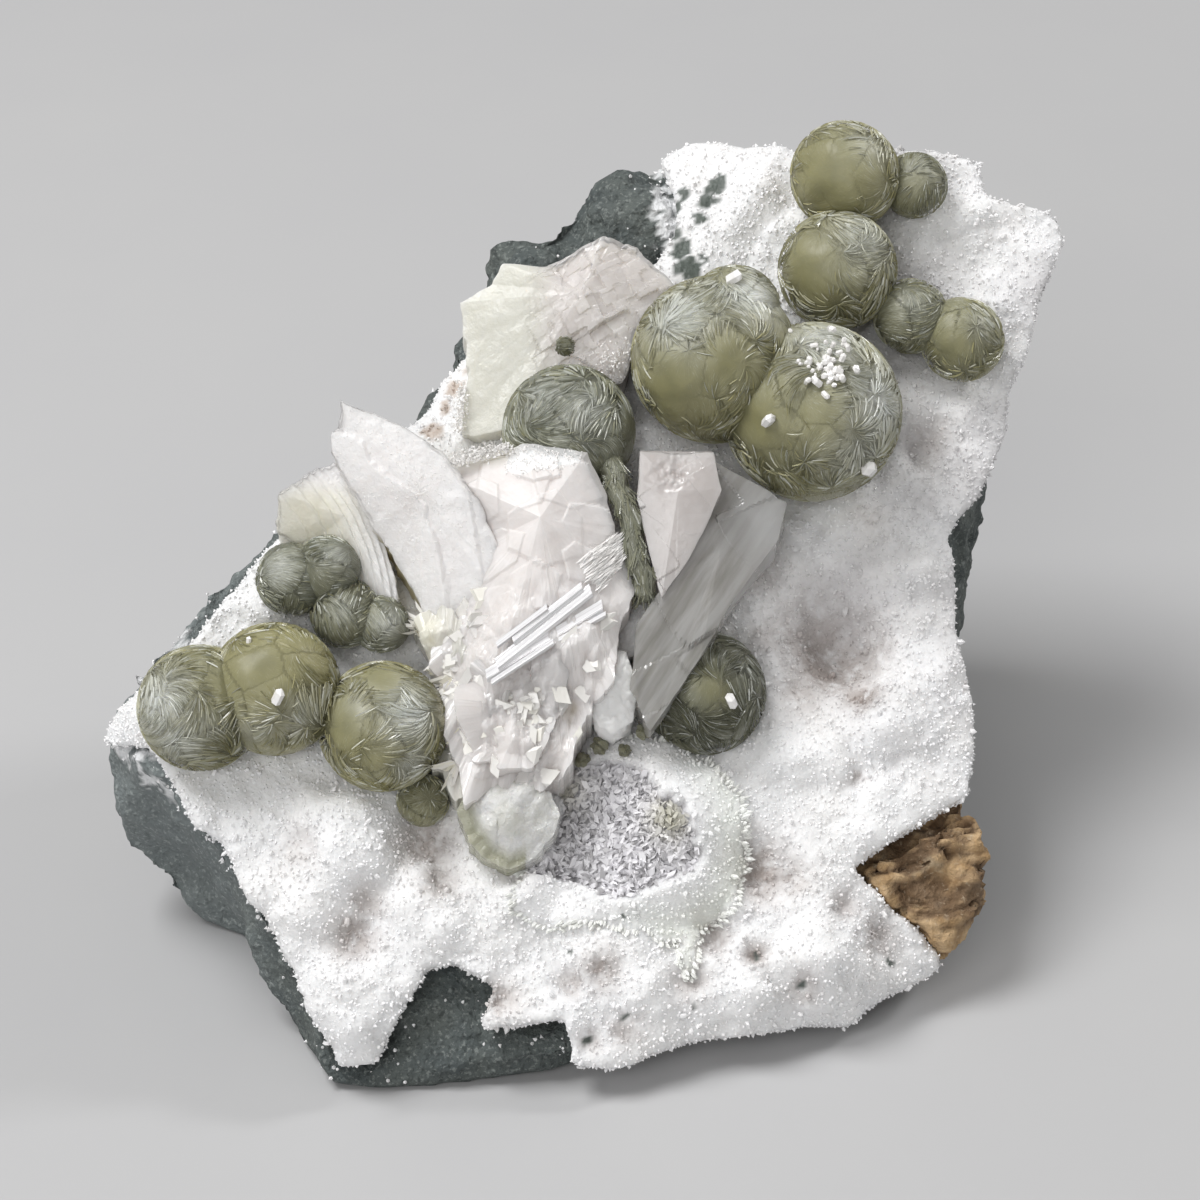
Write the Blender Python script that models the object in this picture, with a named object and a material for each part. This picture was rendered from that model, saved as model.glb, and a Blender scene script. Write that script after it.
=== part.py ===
"""Gyrolite balls and calcite blades on a drusy quartz crust, over a wedge of basalt.

Lengths are in millimetres and become metres when a solid is made. Places are given in the frame of
the display face: u to the right, v up its slope, w straight out of it. The floor is where z is 0.
"""

import math

import bmesh
import bpy
import numpy as np
from mathutils import geometry

MM = 0.001
FACE_SLOPE = math.radians(35)
GAP = 0.3
WELD = 0.000002
MIDDLE_X = -1.05
MIDDLE_Y = 34.4

# The crust is a net of triangles over the display face, and these set its cells, edge and depth.
CELL = 3.0
EDGE_ROUNDING = 6.0
EDGE_THICKNESS = 2.0
EDGE_RAGGEDNESS = 0.4
LEAST_CLEARANCE = 0.7
MOST_THICKNESS = 10.0
CRUST_DEPTH = 4.0
DEEP = -30.0
HIGH = 60.0

# The basalt: how rough its broken walls are, and how its top dips under the crust.
WALL_ROUGHNESS = 1.2
WALL_FLARE = 1.4
ROUNDING_SHARE = 0.25
HEART = (0.0, 42.0)
TOP_SHARES = (0.9, 0.74, 0.48, 0.22)
TOP_LUMPS = [(-11.0, 5.0, 9.0, 2.6), (21.2, 40.8, 9.0, -2.6)]

# The display face without its lumps, as a level and how it climbs along u and v.
FACE_LEVEL = 3.5
FACE_CLIMB_U = -0.10
FACE_CLIMB_V = 0.11

# The basalt, column by column round the specimen from its left corner over the back.
# Each row holds the rim of the display face (u, v, w), the belt (x, y, z) and the base (x, y).
COLUMNS = [
    (-45.0, 32.0, 1.5, -44.4, 28.0, 11.0, -37.0, 26.0),
    (-43.5, 34.5, 5.0, -42.8, 32.0, 14.0, -36.5, 29.5),
    (-39.5, 37.6, 9.5, -39.5, 35.5, 18.0, -34.0, 32.5),
    (-34.0, 44.0, 10.8, -34.5, 39.0, 20.0, -30.0, 36.0),
    (-29.0, 48.5, 10.3, -28.8, 43.5, 21.0, -25.0, 39.5),
    (-22.0, 56.0, 8.5, -21.0, 49.5, 22.0, -19.0, 44.5),
    (-15.5, 63.0, 8.0, -14.5, 55.0, 23.0, -13.0, 49.5),
    (-11.0, 73.0, 8.0, -10.5, 58.0, 24.0, -9.0, 53.5),
    (-6.0, 79.5, 8.0, -5.0, 63.5, 26.0, -4.0, 58.0),
    (0.0, 85.0, 8.0, 1.0, 67.5, 28.0, 2.0, 61.0),
    (9.0, 87.0, 6.5, 9.5, 69.0, 28.0, 9.5, 62.5),
    (19.0, 86.5, 6.0, 19.5, 68.5, 28.0, 18.0, 62.0),
    (28.0, 86.5, 6.0, 28.0, 67.5, 27.0, 26.0, 60.5),
    (34.0, 83.5, 7.0, 35.0, 64.5, 27.0, 32.0, 57.0),
    (40.5, 79.0, 6.5, 37.6, 58.5, 26.0, 34.0, 52.0),
    (38.8, 71.5, 4.5, 34.6, 50.0, 22.0, 32.5, 45.0),
    (36.0, 61.5, 3.0, 32.4, 43.0, 19.0, 30.5, 38.5),
    (30.8, 51.5, 1.5, 29.6, 37.0, 16.0, 28.5, 33.0),
    (31.0, 42.0, 0.5, 29.8, 31.0, 13.0, 27.8, 28.0),
    (31.8, 32.0, -0.5, 31.6, 25.5, 10.0, 28.0, 23.5),
    (33.8, 24.5, 0.5, 33.3, 20.0, 8.5, 28.5, 19.5),
    (34.8, 20.0, -1.0, 33.6, 17.2, 5.5, 29.0, 15.5),
    (29.5, 14.5, -5.2, 28.0, 15.2, 2.2, 25.0, 15.5),
    (21.5, 11.5, -3.4, 20.5, 12.0, 2.0, 17.0, 12.5),
    (13.0, 9.8, -1.6, 12.0, 9.3, 2.2, 10.0, 9.6),
    (3.0, 6.8, 0.0, 2.0, 5.8, 2.2, 1.0, 6.2),
    (-3.8, 3.4, 2.6, -4.0, 1.6, 2.4, -5.0, 3.0),
    (-13.0, 1.9, 2.0, -13.5, 0.3, 1.5, -13.0, 1.0),
    (-19.4, 1.4, 1.2, -19.6, 0.2, 0.8, -19.2, 0.5),
    (-23.3, 2.4, 0.9, -23.8, 0.8, 0.9, -22.6, 1.4),
    (-26.2, 8.0, 3.0, -27.0, 5.5, 1.5, -25.3, 6.2),
    (-29.6, 13.5, 5.0, -30.0, 11.5, 2.0, -28.0, 12.2),
    (-32.6, 18.4, 7.0, -31.8, 18.4, 3.6, -30.0, 18.4),
    (-36.4, 23.2, 8.2, -37.0, 23.2, 6.4, -33.2, 21.6),
    (-41.2, 29.2, 7.0, -43.8, 25.4, 8.0, -36.6, 23.5),
]

# Two smooth domes of bare basalt at the top of the back: middle and half sizes, as u, v, w.
DOMES = [((3.3, 80.0, 5.3), (6.6, 6.8, 6.4)), ((-6.2, 75.9, 4.9), (4.7, 3.9, 6.1))]
DOME_STEPS = 12
DOME_ROUGHNESS = 0.03

# The outline of the white crust with the height of its edge, from the left corner over the back.
CRUST_OUTLINE = [
    (-44.9, 31.6, 3.2), (-43.0, 33.4, 6.6), (-38.7, 35.9, 11.2), (-34.0, 41.2, 12.2), (-30.0, 46.2, 12.2),
    (-23.0, 54.0, 10.5), (-16.0, 60.8, 10.0), (-12.2, 66.0, 10.0), (-10.2, 72.0, 10.0), (-4.0, 74.6, 10.2),
    (3.0, 73.6, 10.5), (6.2, 77.0, 10.8), (7.0, 82.0, 10.8), (5.6, 86.2, 10.2), (8.4, 88.0, 9.6),
    (13.1, 87.4, 9.6), (19.0, 87.4, 9.8), (25.3, 87.6, 10.2), (32.2, 86.8, 10.6), (35.0, 85.7, 10.8),
    (35.9, 82.3, 10.6), (41.7, 80.9, 10.6), (42.9, 78.5, 9.6), (40.4, 72.9, 8.3), (39.9, 69.3, 7.3),
    (37.8, 64.8, 7.0), (37.3, 60.8, 6.2), (35.7, 56.8, 6.0), (32.9, 52.8, 5.2), (31.9, 51.0, 5.0),
    (32.4, 44.9, 4.2), (32.7, 40.0, 4.0), (33.8, 33.7, 3.2), (32.9, 26.6, 3.2), (22.1, 19.8, 3.2),
    (30.7, 12.6, -3.6), (24.3, 8.8, -2.6), (22.3, 6.7, -1.6), (14.2, 5.7, 0.2), (8.8, 4.8, 1.2),
    (1.8, 2.0, 2.8), (-2.2, 1.9, 3.4), (-3.0, 5.8, 5.2), (-10.4, 4.8, 5.0), (-9.4, 8.6, 6.0),
    (-12.8, 10.4, 6.4), (-15.2, 9.8, 6.2), (-17.4, 6.2, 5.0), (-19.6, 2.4, 2.8), (-22.8, 1.9, 2.4),
    (-25.3, 6.4, 4.4), (-28.3, 12.6, 6.6), (-31.2, 16.4, 8.0), (-33.4, 20.6, 9.4), (-35.6, 21.8, 10.0),
    (-37.6, 25.6, 10.6), (-39.9, 29.2, 10.0), (-43.2, 30.4, 5.4),
]

# Lumps of the crust: u, v, radius and height. A hollow has a negative height.
LUMPS = [
    (-22.5, 20.6, 6.4, 2.9), (0.0, 10.9, 4.6, 2.5), (3.8, 7.4, 3.6, 2.0), (-23.4, 6.2, 3.4, 1.7),
    (27.0, 33.2, 5.4, 2.7), (29.6, 47.6, 4.4, 2.2), (17.9, 29.3, 4.4, 1.8), (25.0, 23.6, 3.6, 1.6),
    (-26.5, 15.2, 3.8, 1.6), (-14.9, 14.2, 4.6, 2.0), (-7.2, 16.0, 4.0, 1.6), (12.3, 8.2, 4.2, 1.7),
    (19.5, 11.8, 4.6, 2.1), (36.8, 72.6, 3.8, 2.0), (33.8, 61.6, 3.6, 1.7), (13.9, 81.4, 4.0, 1.8),
    (23.7, 51.0, 3.8, 1.6), (32.5, 79.4, 3.6, 2.1), (38.6, 78.4, 3.2, 1.3), (30.8, 37.4, 3.6, 1.6),
    (15.6, 40.4, 3.6, 1.3), (29.2, 27.0, 3.4, 1.3), (-38.4, 33.6, 4.0, 1.0), (-31.0, 42.5, 4.5, 1.3),
    (4.6, 22.6, 9.4, 4.2), (1.6, 22.8, 5.6, -2.3), (21.2, 40.8, 6.6, -4.4), (-15.4, 21.0, 2.8, -2.0),
    (-20.6, 12.4, 2.8, -1.7), (14.4, 18.8, 3.2, -2.2), (9.6, 13.6, 2.8, -1.8), (24.6, 14.8, 2.8, -1.7),
    (30.0, 58.6, 3.2, -2.1), (18.6, 60.0, 6.0, -1.0),
]

# The weathered ochre patch at the right, and its lumps and slits.
OCHRE_OUTLINE = [
    (23.2, 19.8), (33.2, 25.7), (34.2, 24.6), (35.3, 21.2), (34.9, 17.6), (31.6, 13.6), (30.3, 13.7),
]
OCHRE_LUMPS = [
    (26.4, 19.4, 2.6, 0.9), (30.6, 22.4, 3.0, 1.2), (33.6, 23.4, 2.4, 0.9), (33.4, 19.0, 2.6, 1.0),
    (30.8, 16.4, 2.4, 0.8), (27.6, 20.8, 1.8, -1.3), (30.4, 19.2, 2.0, -1.6), (33.0, 21.2, 1.6, -1.2),
]
OCHRE_CELL = 1.7
OCHRE_LEVEL = 2.2
OCHRE_BOTTOM = -5.6

# Gyrolite balls: u, v, w of the middle, radius, and how many steps go round.
LEFT_BALLS = [
    (-35.1, 31.5, 13.0, 5.6, 14), (-28.6, 33.2, 13.2, 5.9, 14), (-19.1, 30.2, 11.8, 5.8, 14),
    (-15.6, 24.4, 8.6, 2.4, 10),
]
UPPER_LEFT_BALLS = [
    (-27.3, 43.4, 13.4, 3.3, 10), (-24.2, 44.2, 13.8, 3.1, 8), (-22.6, 40.6, 12.4, 3.2, 10),
    (-19.4, 39.6, 12.2, 2.6, 8),
]
CENTRE_BALLS = [
    (10.3, 63.7, 15.5, 7.6, 16), (12.1, 67.5, 17.4, 4.3, 12), (19.1, 59.2, 14.1, 8.1, 16),
]
MIDDLE_BALL = (-2.8, 56.7, 15.6, 6.0, 16)
TINY_BALL = (-3.1, 64.0, 17.8, 1.0, 8)
LOWER_RIGHT_BALL = (9.3, 34.7, 7.6, 5.6, 16)
BACK_BALLS = [
    (22.5, 82.6, 14.3, 5.1, 14), (29.0, 82.4, 12.7, 3.1, 10), (21.7, 73.5, 13.4, 5.5, 14),
    (28.4, 69.7, 11.6, 3.5, 10), (33.1, 67.7, 10.8, 3.9, 12),
]
BALL_ROUGHNESS = 0.035

# The dark strip of gyrolite between two calcite plates, and its half width and half depth.
STEM_PATH = [
    (0.4, 54.4, 17.4), (1.4, 51.2, 17.8), (2.2, 48.6, 17.4), (3.1, 45.4, 16.6), (3.8, 42.2, 15.8),
    (4.0, 39.6, 14.6),
]
STEM_HALF_WIDTH = 1.6
STEM_HALF_DEPTH = 1.9

# The broken glassy lens at the low end of the calcite: its middle and its three half sizes.
LENS_MIDDLE = (-7.7, 21.4, 8.4)
LENS_SIZES = (4.0, 3.2, 2.6)

# Calcite plates. Each row is a corner: u, v, and the w of the front and of the back.
FAN_PLATE = [
    (-23.2, 57.1, 23.0, 20.6), (-17.5, 54.8, 22.0, 14.0), (-13.6, 52.9, 21.0, 9.0),
    (-10.3, 48.6, 19.6, 6.0), (-6.8, 40.5, 16.2, 6.0), (-12.8, 37.2, 13.5, 6.0),
    (-15.0, 38.6, 13.5, 6.0), (-17.2, 42.9, 14.6, 9.0), (-19.9, 46.3, 16.4, 12.0),
    (-22.8, 50.8, 19.0, 16.0), (-24.2, 53.1, 20.2, 17.6),
]
LEFT_PLATE = [
    (-28.7, 50.1, 18.0, 15.6), (-26.5, 51.5, 18.5, 16.0), (-23.2, 53.2, 18.0, 15.2),
    (-20.8, 50.0, 16.6, 12.0), (-18.6, 45.6, 14.2, 6.0), (-16.6, 38.6, 12.2, 6.0),
    (-22.4, 42.4, 12.2, 6.0), (-26.7, 46.2, 13.8, 9.0), (-28.8, 47.2, 15.0, 12.0),
]
CENTRE_MASS = [
    (-15.4, 52.3, 18.6, 6.0), (-7.0, 53.9, 21.0, 6.0), (-0.9, 53.1, 21.2, 6.0), (0.9, 49.5, 19.6, 6.0),
    (1.8, 45.4, 18.0, 6.0), (3.3, 41.4, 16.2, 6.0), (2.0, 37.4, 15.2, 5.0), (-0.4, 31.9, 13.8, 5.0),
    (-3.5, 25.0, 10.8, 5.0), (-11.4, 24.4, 10.2, 5.0), (-13.4, 32.4, 12.2, 5.0), (-14.6, 38.2, 12.8, 5.0),
    (-12.6, 45.0, 15.0, 5.0),
]
BRIGHT_BLADE = [
    (-9.6, 37.4, 17.6, 9.0), (-0.5, 44.0, 20.4, 10.0), (0.9, 42.2, 19.2, 10.0), (-7.6, 35.2, 16.6, 9.0),
]
LOW_BLADE = [
    (-10.8, 33.6, 14.2, 8.0), (-3.6, 35.8, 16.2, 8.0), (-2.6, 31.6, 14.4, 7.0), (-6.0, 26.6, 12.4, 6.0),
    (-10.6, 27.2, 12.0, 6.0),
]
TABLET = [
    (3.4, 53.2, 20.0, 6.0), (10.1, 53.1, 20.0, 6.0), (10.8, 49.7, 19.0, 6.0), (9.7, 47.3, 18.0, 6.0),
    (7.9, 43.9, 17.0, 6.0), (5.4, 40.6, 15.8, 6.0), (4.2, 44.6, 17.0, 6.0), (3.2, 49.0, 18.6, 6.0),
]
GREY_BLADE = [
    (10.0, 53.0, 18.0, 6.0), (16.9, 50.6, 14.4, 7.0), (16.0, 47.0, 14.0, 9.0), (11.9, 41.2, 14.4, 11.0),
    (8.8, 35.6, 14.0, 11.6), (4.3, 29.2, 12.6, 10.6), (2.4, 32.8, 13.8, 6.0), (3.0, 38.4, 15.4, 6.0),
    (6.6, 43.6, 16.0, 6.0), (9.0, 47.4, 17.0, 6.0),
]
CREAM_PIECE = [
    (-1.2, 36.4, 14.6, 5.0), (3.3, 37.3, 14.2, 6.0), (3.5, 32.6, 12.4, 6.0), (2.6, 29.5, 10.9, 6.0),
    (0.0, 28.7, 10.8, 5.0), (-1.8, 32.2, 13.2, 5.0),
]
CALCITE_FOOT = [
    (-14.0, 50.0, 13.0, 5.0), (0.0, 52.4, 13.0, 5.0), (10.4, 51.4, 13.2, 5.0), (8.0, 44.0, 12.8, 5.0),
    (4.0, 37.0, 12.0, 5.0), (-6.0, 32.0, 11.0, 5.0), (-13.0, 38.0, 11.8, 5.0),
]
BACK_PLATE = [
    (-13.1, 69.6, 14.8, 12.0), (-10.1, 71.2, 15.4, 12.6), (-9.1, 73.1, 16.0, 12.0), (-5.0, 72.9, 15.8, 8.0),
    (0.5, 75.3, 18.0, 7.0), (3.6, 74.3, 17.0, 7.0), (7.0, 71.2, 15.6, 7.0), (3.8, 66.6, 15.6, 7.0),
    (2.2, 61.4, 15.0, 7.0), (-3.6, 60.4, 14.6, 7.0), (-9.0, 57.4, 13.6, 7.0), (-12.9, 57.2, 12.2, 7.0),
    (-12.3, 63.3, 13.8, 9.0),
]

# The plates of the main group, each with the point that its front facets meet at.
CALCITE_PLATES = [
    (CALCITE_FOOT, None), (CENTRE_MASS, (-5.2, 46.2, 22.0)), (FAN_PLATE, (-15.6, 49.0, 20.0)),
    (LEFT_PLATE, (-22.6, 48.2, 16.6)), (BRIGHT_BLADE, None), (LOW_BLADE, None),
    (TABLET, (6.9, 49.6, 19.4)), (GREY_BLADE, (10.6, 45.2, 16.0)), (CREAM_PIECE, (1.2, 33.6, 13.9)),
]
BACK_PEAK = (-1.6, 69.6, 17.6)
SINKING = 0.13

# Base colour and roughness of each material.
MATERIALS = {
    "basalt": ((0.12, 0.14, 0.14, 1.0), 0.85),
    "quartz": ((0.86, 0.86, 0.87, 1.0), 0.45),
    "gyrolite": ((0.27, 0.28, 0.17, 1.0), 0.4),
    "calcite": ((0.85, 0.8, 0.78, 1.0), 0.25),
}


def clear_scene():
    """Takes the objects of the new file out."""
    for obj in list(bpy.data.objects):
        bpy.data.objects.remove(obj, do_unlink=True)


def material(kind):
    """The plain material of one mineral."""
    found = bpy.data.materials.get(kind)
    if found:
        return found
    colour, roughness = MATERIALS[kind]
    made = bpy.data.materials.new(kind)
    made.use_nodes = True
    shader = made.node_tree.nodes["Principled BSDF"]
    shader.inputs["Base Color"].default_value = colour
    shader.inputs["Roughness"].default_value = roughness
    made.diffuse_color = colour
    return made


def to_floor(points):
    """Turns rows of u, v, w into rows of x, y, z."""
    u, v, w = np.asarray(points, float).T
    y = v * math.cos(FACE_SLOPE) - w * math.sin(FACE_SLOPE)
    z = v * math.sin(FACE_SLOPE) + w * math.cos(FACE_SLOPE)
    return np.column_stack([u, y, z])


def solid(name, points, faces):
    """A closed object from x, y, z in millimetres, with its faces turned outwards."""
    shifted = (np.asarray(points, float) - (MIDDLE_X, MIDDLE_Y, 0)) * MM
    mesh = bpy.data.meshes.new(name)
    mesh.from_pydata(shifted.tolist(), [], [list(face) for face in faces])
    body = bmesh.new()
    body.from_mesh(mesh)
    bmesh.ops.triangulate(body, faces=body.faces)
    bmesh.ops.recalc_face_normals(body, faces=body.faces)
    if body.calc_volume(signed=True) < 0:
        bmesh.ops.reverse_faces(body, faces=body.faces)
    body.to_mesh(mesh)
    body.free()
    obj = bpy.data.objects.new(name, mesh)
    bpy.context.scene.collection.objects.link(obj)
    return obj


def islands(net):
    """The points of a mesh in groups that hang together, with the largest last."""
    left = set(net.verts)
    groups = []
    while left:
        group = [left.pop()]
        for point in group:
            near = {edge.other_vert(point) for edge in point.link_edges} & left
            left -= near
            group.extend(near)
        groups.append(group)
    return sorted(groups, key=len)


def tidy(mesh, one_part=False):
    """Splits a mesh into triangles, welds its doubled points and may keep its largest part alone."""
    net = bmesh.new()
    net.from_mesh(mesh)
    bmesh.ops.triangulate(net, faces=net.faces)
    bmesh.ops.remove_doubles(net, verts=net.verts, dist=WELD)
    bmesh.ops.dissolve_degenerate(net, edges=net.edges, dist=WELD)
    if one_part:
        for group in islands(net)[:-1]:
            bmesh.ops.delete(net, geom=group, context="VERTS")
    bmesh.ops.triangulate(net, faces=net.faces)
    net.to_mesh(mesh)
    net.free()


def combine(body, tool, operation):
    """Cuts the tool away from the body, or joins or meets the two, and drops the tool."""
    step = body.modifiers.new("step", "BOOLEAN")
    step.operation = operation
    step.solver = "EXACT"
    step.object = tool
    bpy.context.view_layer.update()
    graph = bpy.context.evaluated_depsgraph_get()
    mesh = bpy.data.meshes.new_from_object(body.evaluated_get(graph))
    body.modifiers.remove(step)
    body.data = mesh
    tidy(mesh)


def drop(*tools):
    """Takes tools out that are no longer needed."""
    for tool in tools:
        bpy.data.objects.remove(tool, do_unlink=True)


def join_all(name, pieces):
    """Makes one body of pieces that overlap."""
    first = pieces[0]
    for piece in pieces[1:]:
        combine(first, piece, "UNION")
        drop(piece)
    first.name = name
    return first


def finish(body, kind):
    """Keeps the largest closed part and gives the material."""
    tidy(body.data, one_part=True)
    body.data.name = body.name
    body.data.materials.clear()
    body.data.materials.append(material(kind))


def noise(points, seed, scale):
    """A smooth wandering value for each row of points, roughly between -1 and 1."""
    rng = np.random.RandomState(seed)
    total = np.zeros(len(points))
    for _ in range(6):
        way = rng.normal(size=points.shape[1])
        way *= (0.6 + 0.8 * rng.rand()) / (scale * np.linalg.norm(way))
        total += np.cos(points @ way * 2 * math.pi + rng.rand() * 2 * math.pi)
    return total / 3.5


def nearest_edge(points, outline):
    """For each point, the distance inside the outline, 0 outside it, and the edge's height there."""
    starts = np.asarray(outline, float)
    ends = np.roll(starts, -1, axis=0)
    best = np.full(len(points), np.inf)
    height = np.zeros(len(points))
    inside = np.zeros(len(points), bool)
    for start, end in zip(starts, ends):
        along = end[:2] - start[:2]
        share = np.clip((points - start[:2]) @ along / (along @ along), 0, 1)
        away = np.linalg.norm(points - start[:2] - share[:, None] * along, axis=1)
        nearer = away < best
        best[nearer] = away[nearer]
        height[nearer] = (start[2] + share * (end[2] - start[2]))[nearer]
        crosses = (start[1] > points[:, 1]) != (end[1] > points[:, 1])
        rise = end[1] - start[1] if end[1] != start[1] else 1.0
        meet = start[0] + (points[:, 1] - start[1]) * (end[0] - start[0]) / rise
        inside ^= crosses & (points[:, 0] < meet)
    return np.where(inside, best, 0.0), height


def lumps_at(points, lumps):
    """The summed height of round lumps and hollows."""
    total = np.zeros(len(points))
    for u, v, radius, height in lumps:
        share = np.hypot(points[:, 0] - u, points[:, 1] - v) / radius
        total += height * np.where(share < 1, (1 - share**2) ** 2, 0)
    return total


def plain_height(points):
    """The height of the display face without its lumps: it stands out more towards the upper left."""
    return FACE_LEVEL + FACE_CLIMB_V * points[:, 1] + FACE_CLIMB_U * points[:, 0]


def crust_height(points):
    """The height of the white crust, rounded down to its edge."""
    inside, edge = nearest_edge(points, CRUST_OUTLINE)
    share = np.clip(inside / EDGE_ROUNDING, 0, 1)
    body = plain_height(points) + lumps_at(points, LUMPS) + 0.35 * noise(points, 5, 6.0)
    return edge + (body - edge) * np.sqrt(1 - (1 - share) ** 2), inside


def grid_block(name, us, vs, top, bottom):
    """A closed block between two fields of heights over a grid of u and v."""
    rows, columns = len(vs), len(us)
    u, v = np.meshgrid(us, vs)
    upper = np.column_stack([u.ravel(), v.ravel(), top])
    lower = np.column_stack([u.ravel(), v.ravel(), bottom])
    index = np.arange(rows * columns).reshape(rows, columns)
    quads = np.stack([index[:-1, :-1], index[:-1, 1:], index[1:, 1:], index[1:, :-1]], axis=-1)
    quads = quads.reshape(-1, 4)
    border = np.concatenate([index[0, :], index[1:, -1], index[-1, -2::-1], index[-2:0:-1, 0]])
    following = np.roll(border, -1)
    count = rows * columns
    walls = np.stack([border, border + count, following + count, following], axis=-1)
    faces = quads.tolist() + (quads[:, ::-1] + count).tolist() + walls.tolist()
    return solid(name, to_floor(np.vstack([upper, lower])), faces)


def prism(name, outline, low, high):
    """A closed column over an outline, straight out of the display face."""
    flat = np.asarray(outline, float)[:, :2]
    count = len(flat)
    points = np.vstack([np.column_stack([flat, np.full(count, level)]) for level in (low, high)])
    faces = [list(range(count)), list(range(2 * count - 1, count - 1, -1))]
    for k in range(count):
        following = (k + 1) % count
        faces.append([k, following, following + count, k + count])
    return solid(name, to_floor(points), faces)


def outwards(ring):
    """The level direction pointing out of the block at each point of a ring."""
    along = (np.roll(ring, -1, axis=0) - np.roll(ring, 1, axis=0))[:, :2]
    out = np.column_stack([-along[:, 1], along[:, 0], np.zeros(len(ring))])
    return out / np.linalg.norm(out, axis=1)[:, None]


def basalt_rings(grow):
    """The rings of the basalt from the base up its walls and over its top, grown by a distance."""
    columns = np.asarray(COLUMNS, float)
    rim_face = columns[:, 0:3]
    rim = to_floor(rim_face)
    belt = columns[:, 3:6]
    base = np.column_stack([columns[:, 6:8], np.zeros(len(columns))])
    walls = [base]
    for share in (0.5, 1.0):
        walls.append(base + (belt - base) * (share**WALL_FLARE, share**WALL_FLARE, share))
    for share in (0.35, 0.7, 1.0):
        walls.append(belt + (rim - belt) * share)
    rng = np.random.RandomState(11)
    rings = []
    for level, ring in enumerate(walls):
        rough = rng.uniform(-1, 1, len(ring)) * WALL_ROUGHNESS * (level in (1, 2, 3, 4))
        rings.append(ring + outwards(ring) * (rough[:, None] + grow))
    out_of_face = to_floor([(0, 0, 1)])[0]
    rings[-1] = rings[-1] + out_of_face * grow
    middle = np.array(HEART)
    for share in TOP_SHARES:
        flat = middle + (rim_face[:, :2] - middle) * share
        depth = plain_height(flat) - CRUST_DEPTH + 0.4 * noise(flat, 3, 9.0)
        depth += lumps_at(flat, TOP_LUMPS)
        blend = min((1 - share) / ROUNDING_SHARE, 1)
        height = rim_face[:, 2] + (depth - rim_face[:, 2]) * blend
        rings.append(to_floor(np.column_stack([flat, height])) + out_of_face * grow)
    centre_height = plain_height(middle[None, :])[0] - CRUST_DEPTH
    centre = to_floor([(middle[0], middle[1], centre_height)])[0] + out_of_face * grow
    return np.array(rings), centre


def basalt_block(name, grow):
    """The closed wedge of basalt."""
    rings, centre = basalt_rings(grow)
    levels, around = rings.shape[:2]
    points = np.vstack([rings.reshape(-1, 3), centre[None, :]])
    faces = [list(range(around))]
    for level in range(levels - 1):
        for k in range(around):
            a = level * around + k
            b = level * around + (k + 1) % around
            faces.append([a, b, b + around])
            faces.append([a, b + around, a + around])
    last = (levels - 1) * around
    for k in range(around):
        faces.append([last + k, last + (k + 1) % around, levels * around])
    if grow:
        points[:around, 2] -= 1.0
    return solid(name, points, faces)


def ochre_block(name, grow=0.0):
    """The pitted weathered patch, as a block that sinks into the basalt."""
    us = np.arange(22.0, 38.1, OCHRE_CELL)
    vs = np.arange(11.0, 28.1, OCHRE_CELL)
    grid = np.array([(u, v) for v in vs for u in us])
    apex_u, apex_v = OCHRE_OUTLINE[0][0] + 3.8, OCHRE_OUTLINE[0][1] + 2.2
    top = OCHRE_LEVEL - 0.14 * np.abs(grid[:, 0] - apex_u) ** 1.1
    top -= 0.16 * np.clip(apex_v - grid[:, 1], 0, 9) ** 1.4
    top += lumps_at(grid, OCHRE_LUMPS) + 0.3 * noise(grid, 8, 3.0)
    block = grid_block(name, us, vs, top + grow, np.full(len(grid), OCHRE_BOTTOM - grow))
    corners = np.array(OCHRE_OUTLINE)
    away = corners - corners.mean(axis=0)
    corners += grow * 1.2 * away / np.linalg.norm(away, axis=1)[:, None]
    outline = prism("outline", corners, DEEP, HIGH)
    combine(block, outline, "INTERSECT")
    drop(outline)
    return block


def back_dome(name, middle, sizes):
    """A smooth dome of bare basalt at the top of the back."""
    return ellipsoid(name, middle, sizes, DOME_STEPS, 4, DOME_ROUGHNESS)


def crust_net(grow):
    """Triangles over the outline of the crust, with ragged edges, and the heights of their corners."""
    rng = np.random.RandomState(21)
    edge = []
    corners = np.array(CRUST_OUTLINE)[:, :2]
    for start, end in zip(corners, np.roll(corners, -1, axis=0)):
        edge.append(start)
        if np.linalg.norm(end - start) > 1.5 * CELL:
            middle = (start + end) / 2
            edge.append(middle + rng.uniform(-EDGE_RAGGEDNESS, EDGE_RAGGEDNESS, 2))
    edge = np.array(edge)
    edge_height = nearest_edge(edge, CRUST_OUTLINE)[1]
    along = np.roll(edge, -1, axis=0) - np.roll(edge, 1, axis=0)
    out = np.column_stack([-along[:, 1], along[:, 0]]) / np.linalg.norm(along, axis=1)[:, None]
    us = np.arange(-50.0, 48.0, CELL)
    vs = np.arange(-4.0, 94.0, CELL)
    inner = np.array([(u + CELL / 2 * (k % 2), v) for k, v in enumerate(vs) for u in us])
    inner = inner + rng.uniform(-0.4, 0.4, inner.shape)
    height, inside = crust_height(inner)
    height = height + rng.uniform(-0.22, 0.22, len(inner))
    kept = inside > 0.45 * CELL
    flat = np.vstack([edge + out * grow, inner[kept]])
    height = np.concatenate([edge_height, height[kept]])
    inside = np.concatenate([np.zeros(len(edge)), inside[kept]])
    face = [list(range(len(edge)))]
    found = geometry.delaunay_2d_cdt([tuple(point) for point in flat], [], face, 1, 1e-7)
    return flat, np.array(found[2]), height, inside, len(edge)


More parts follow.
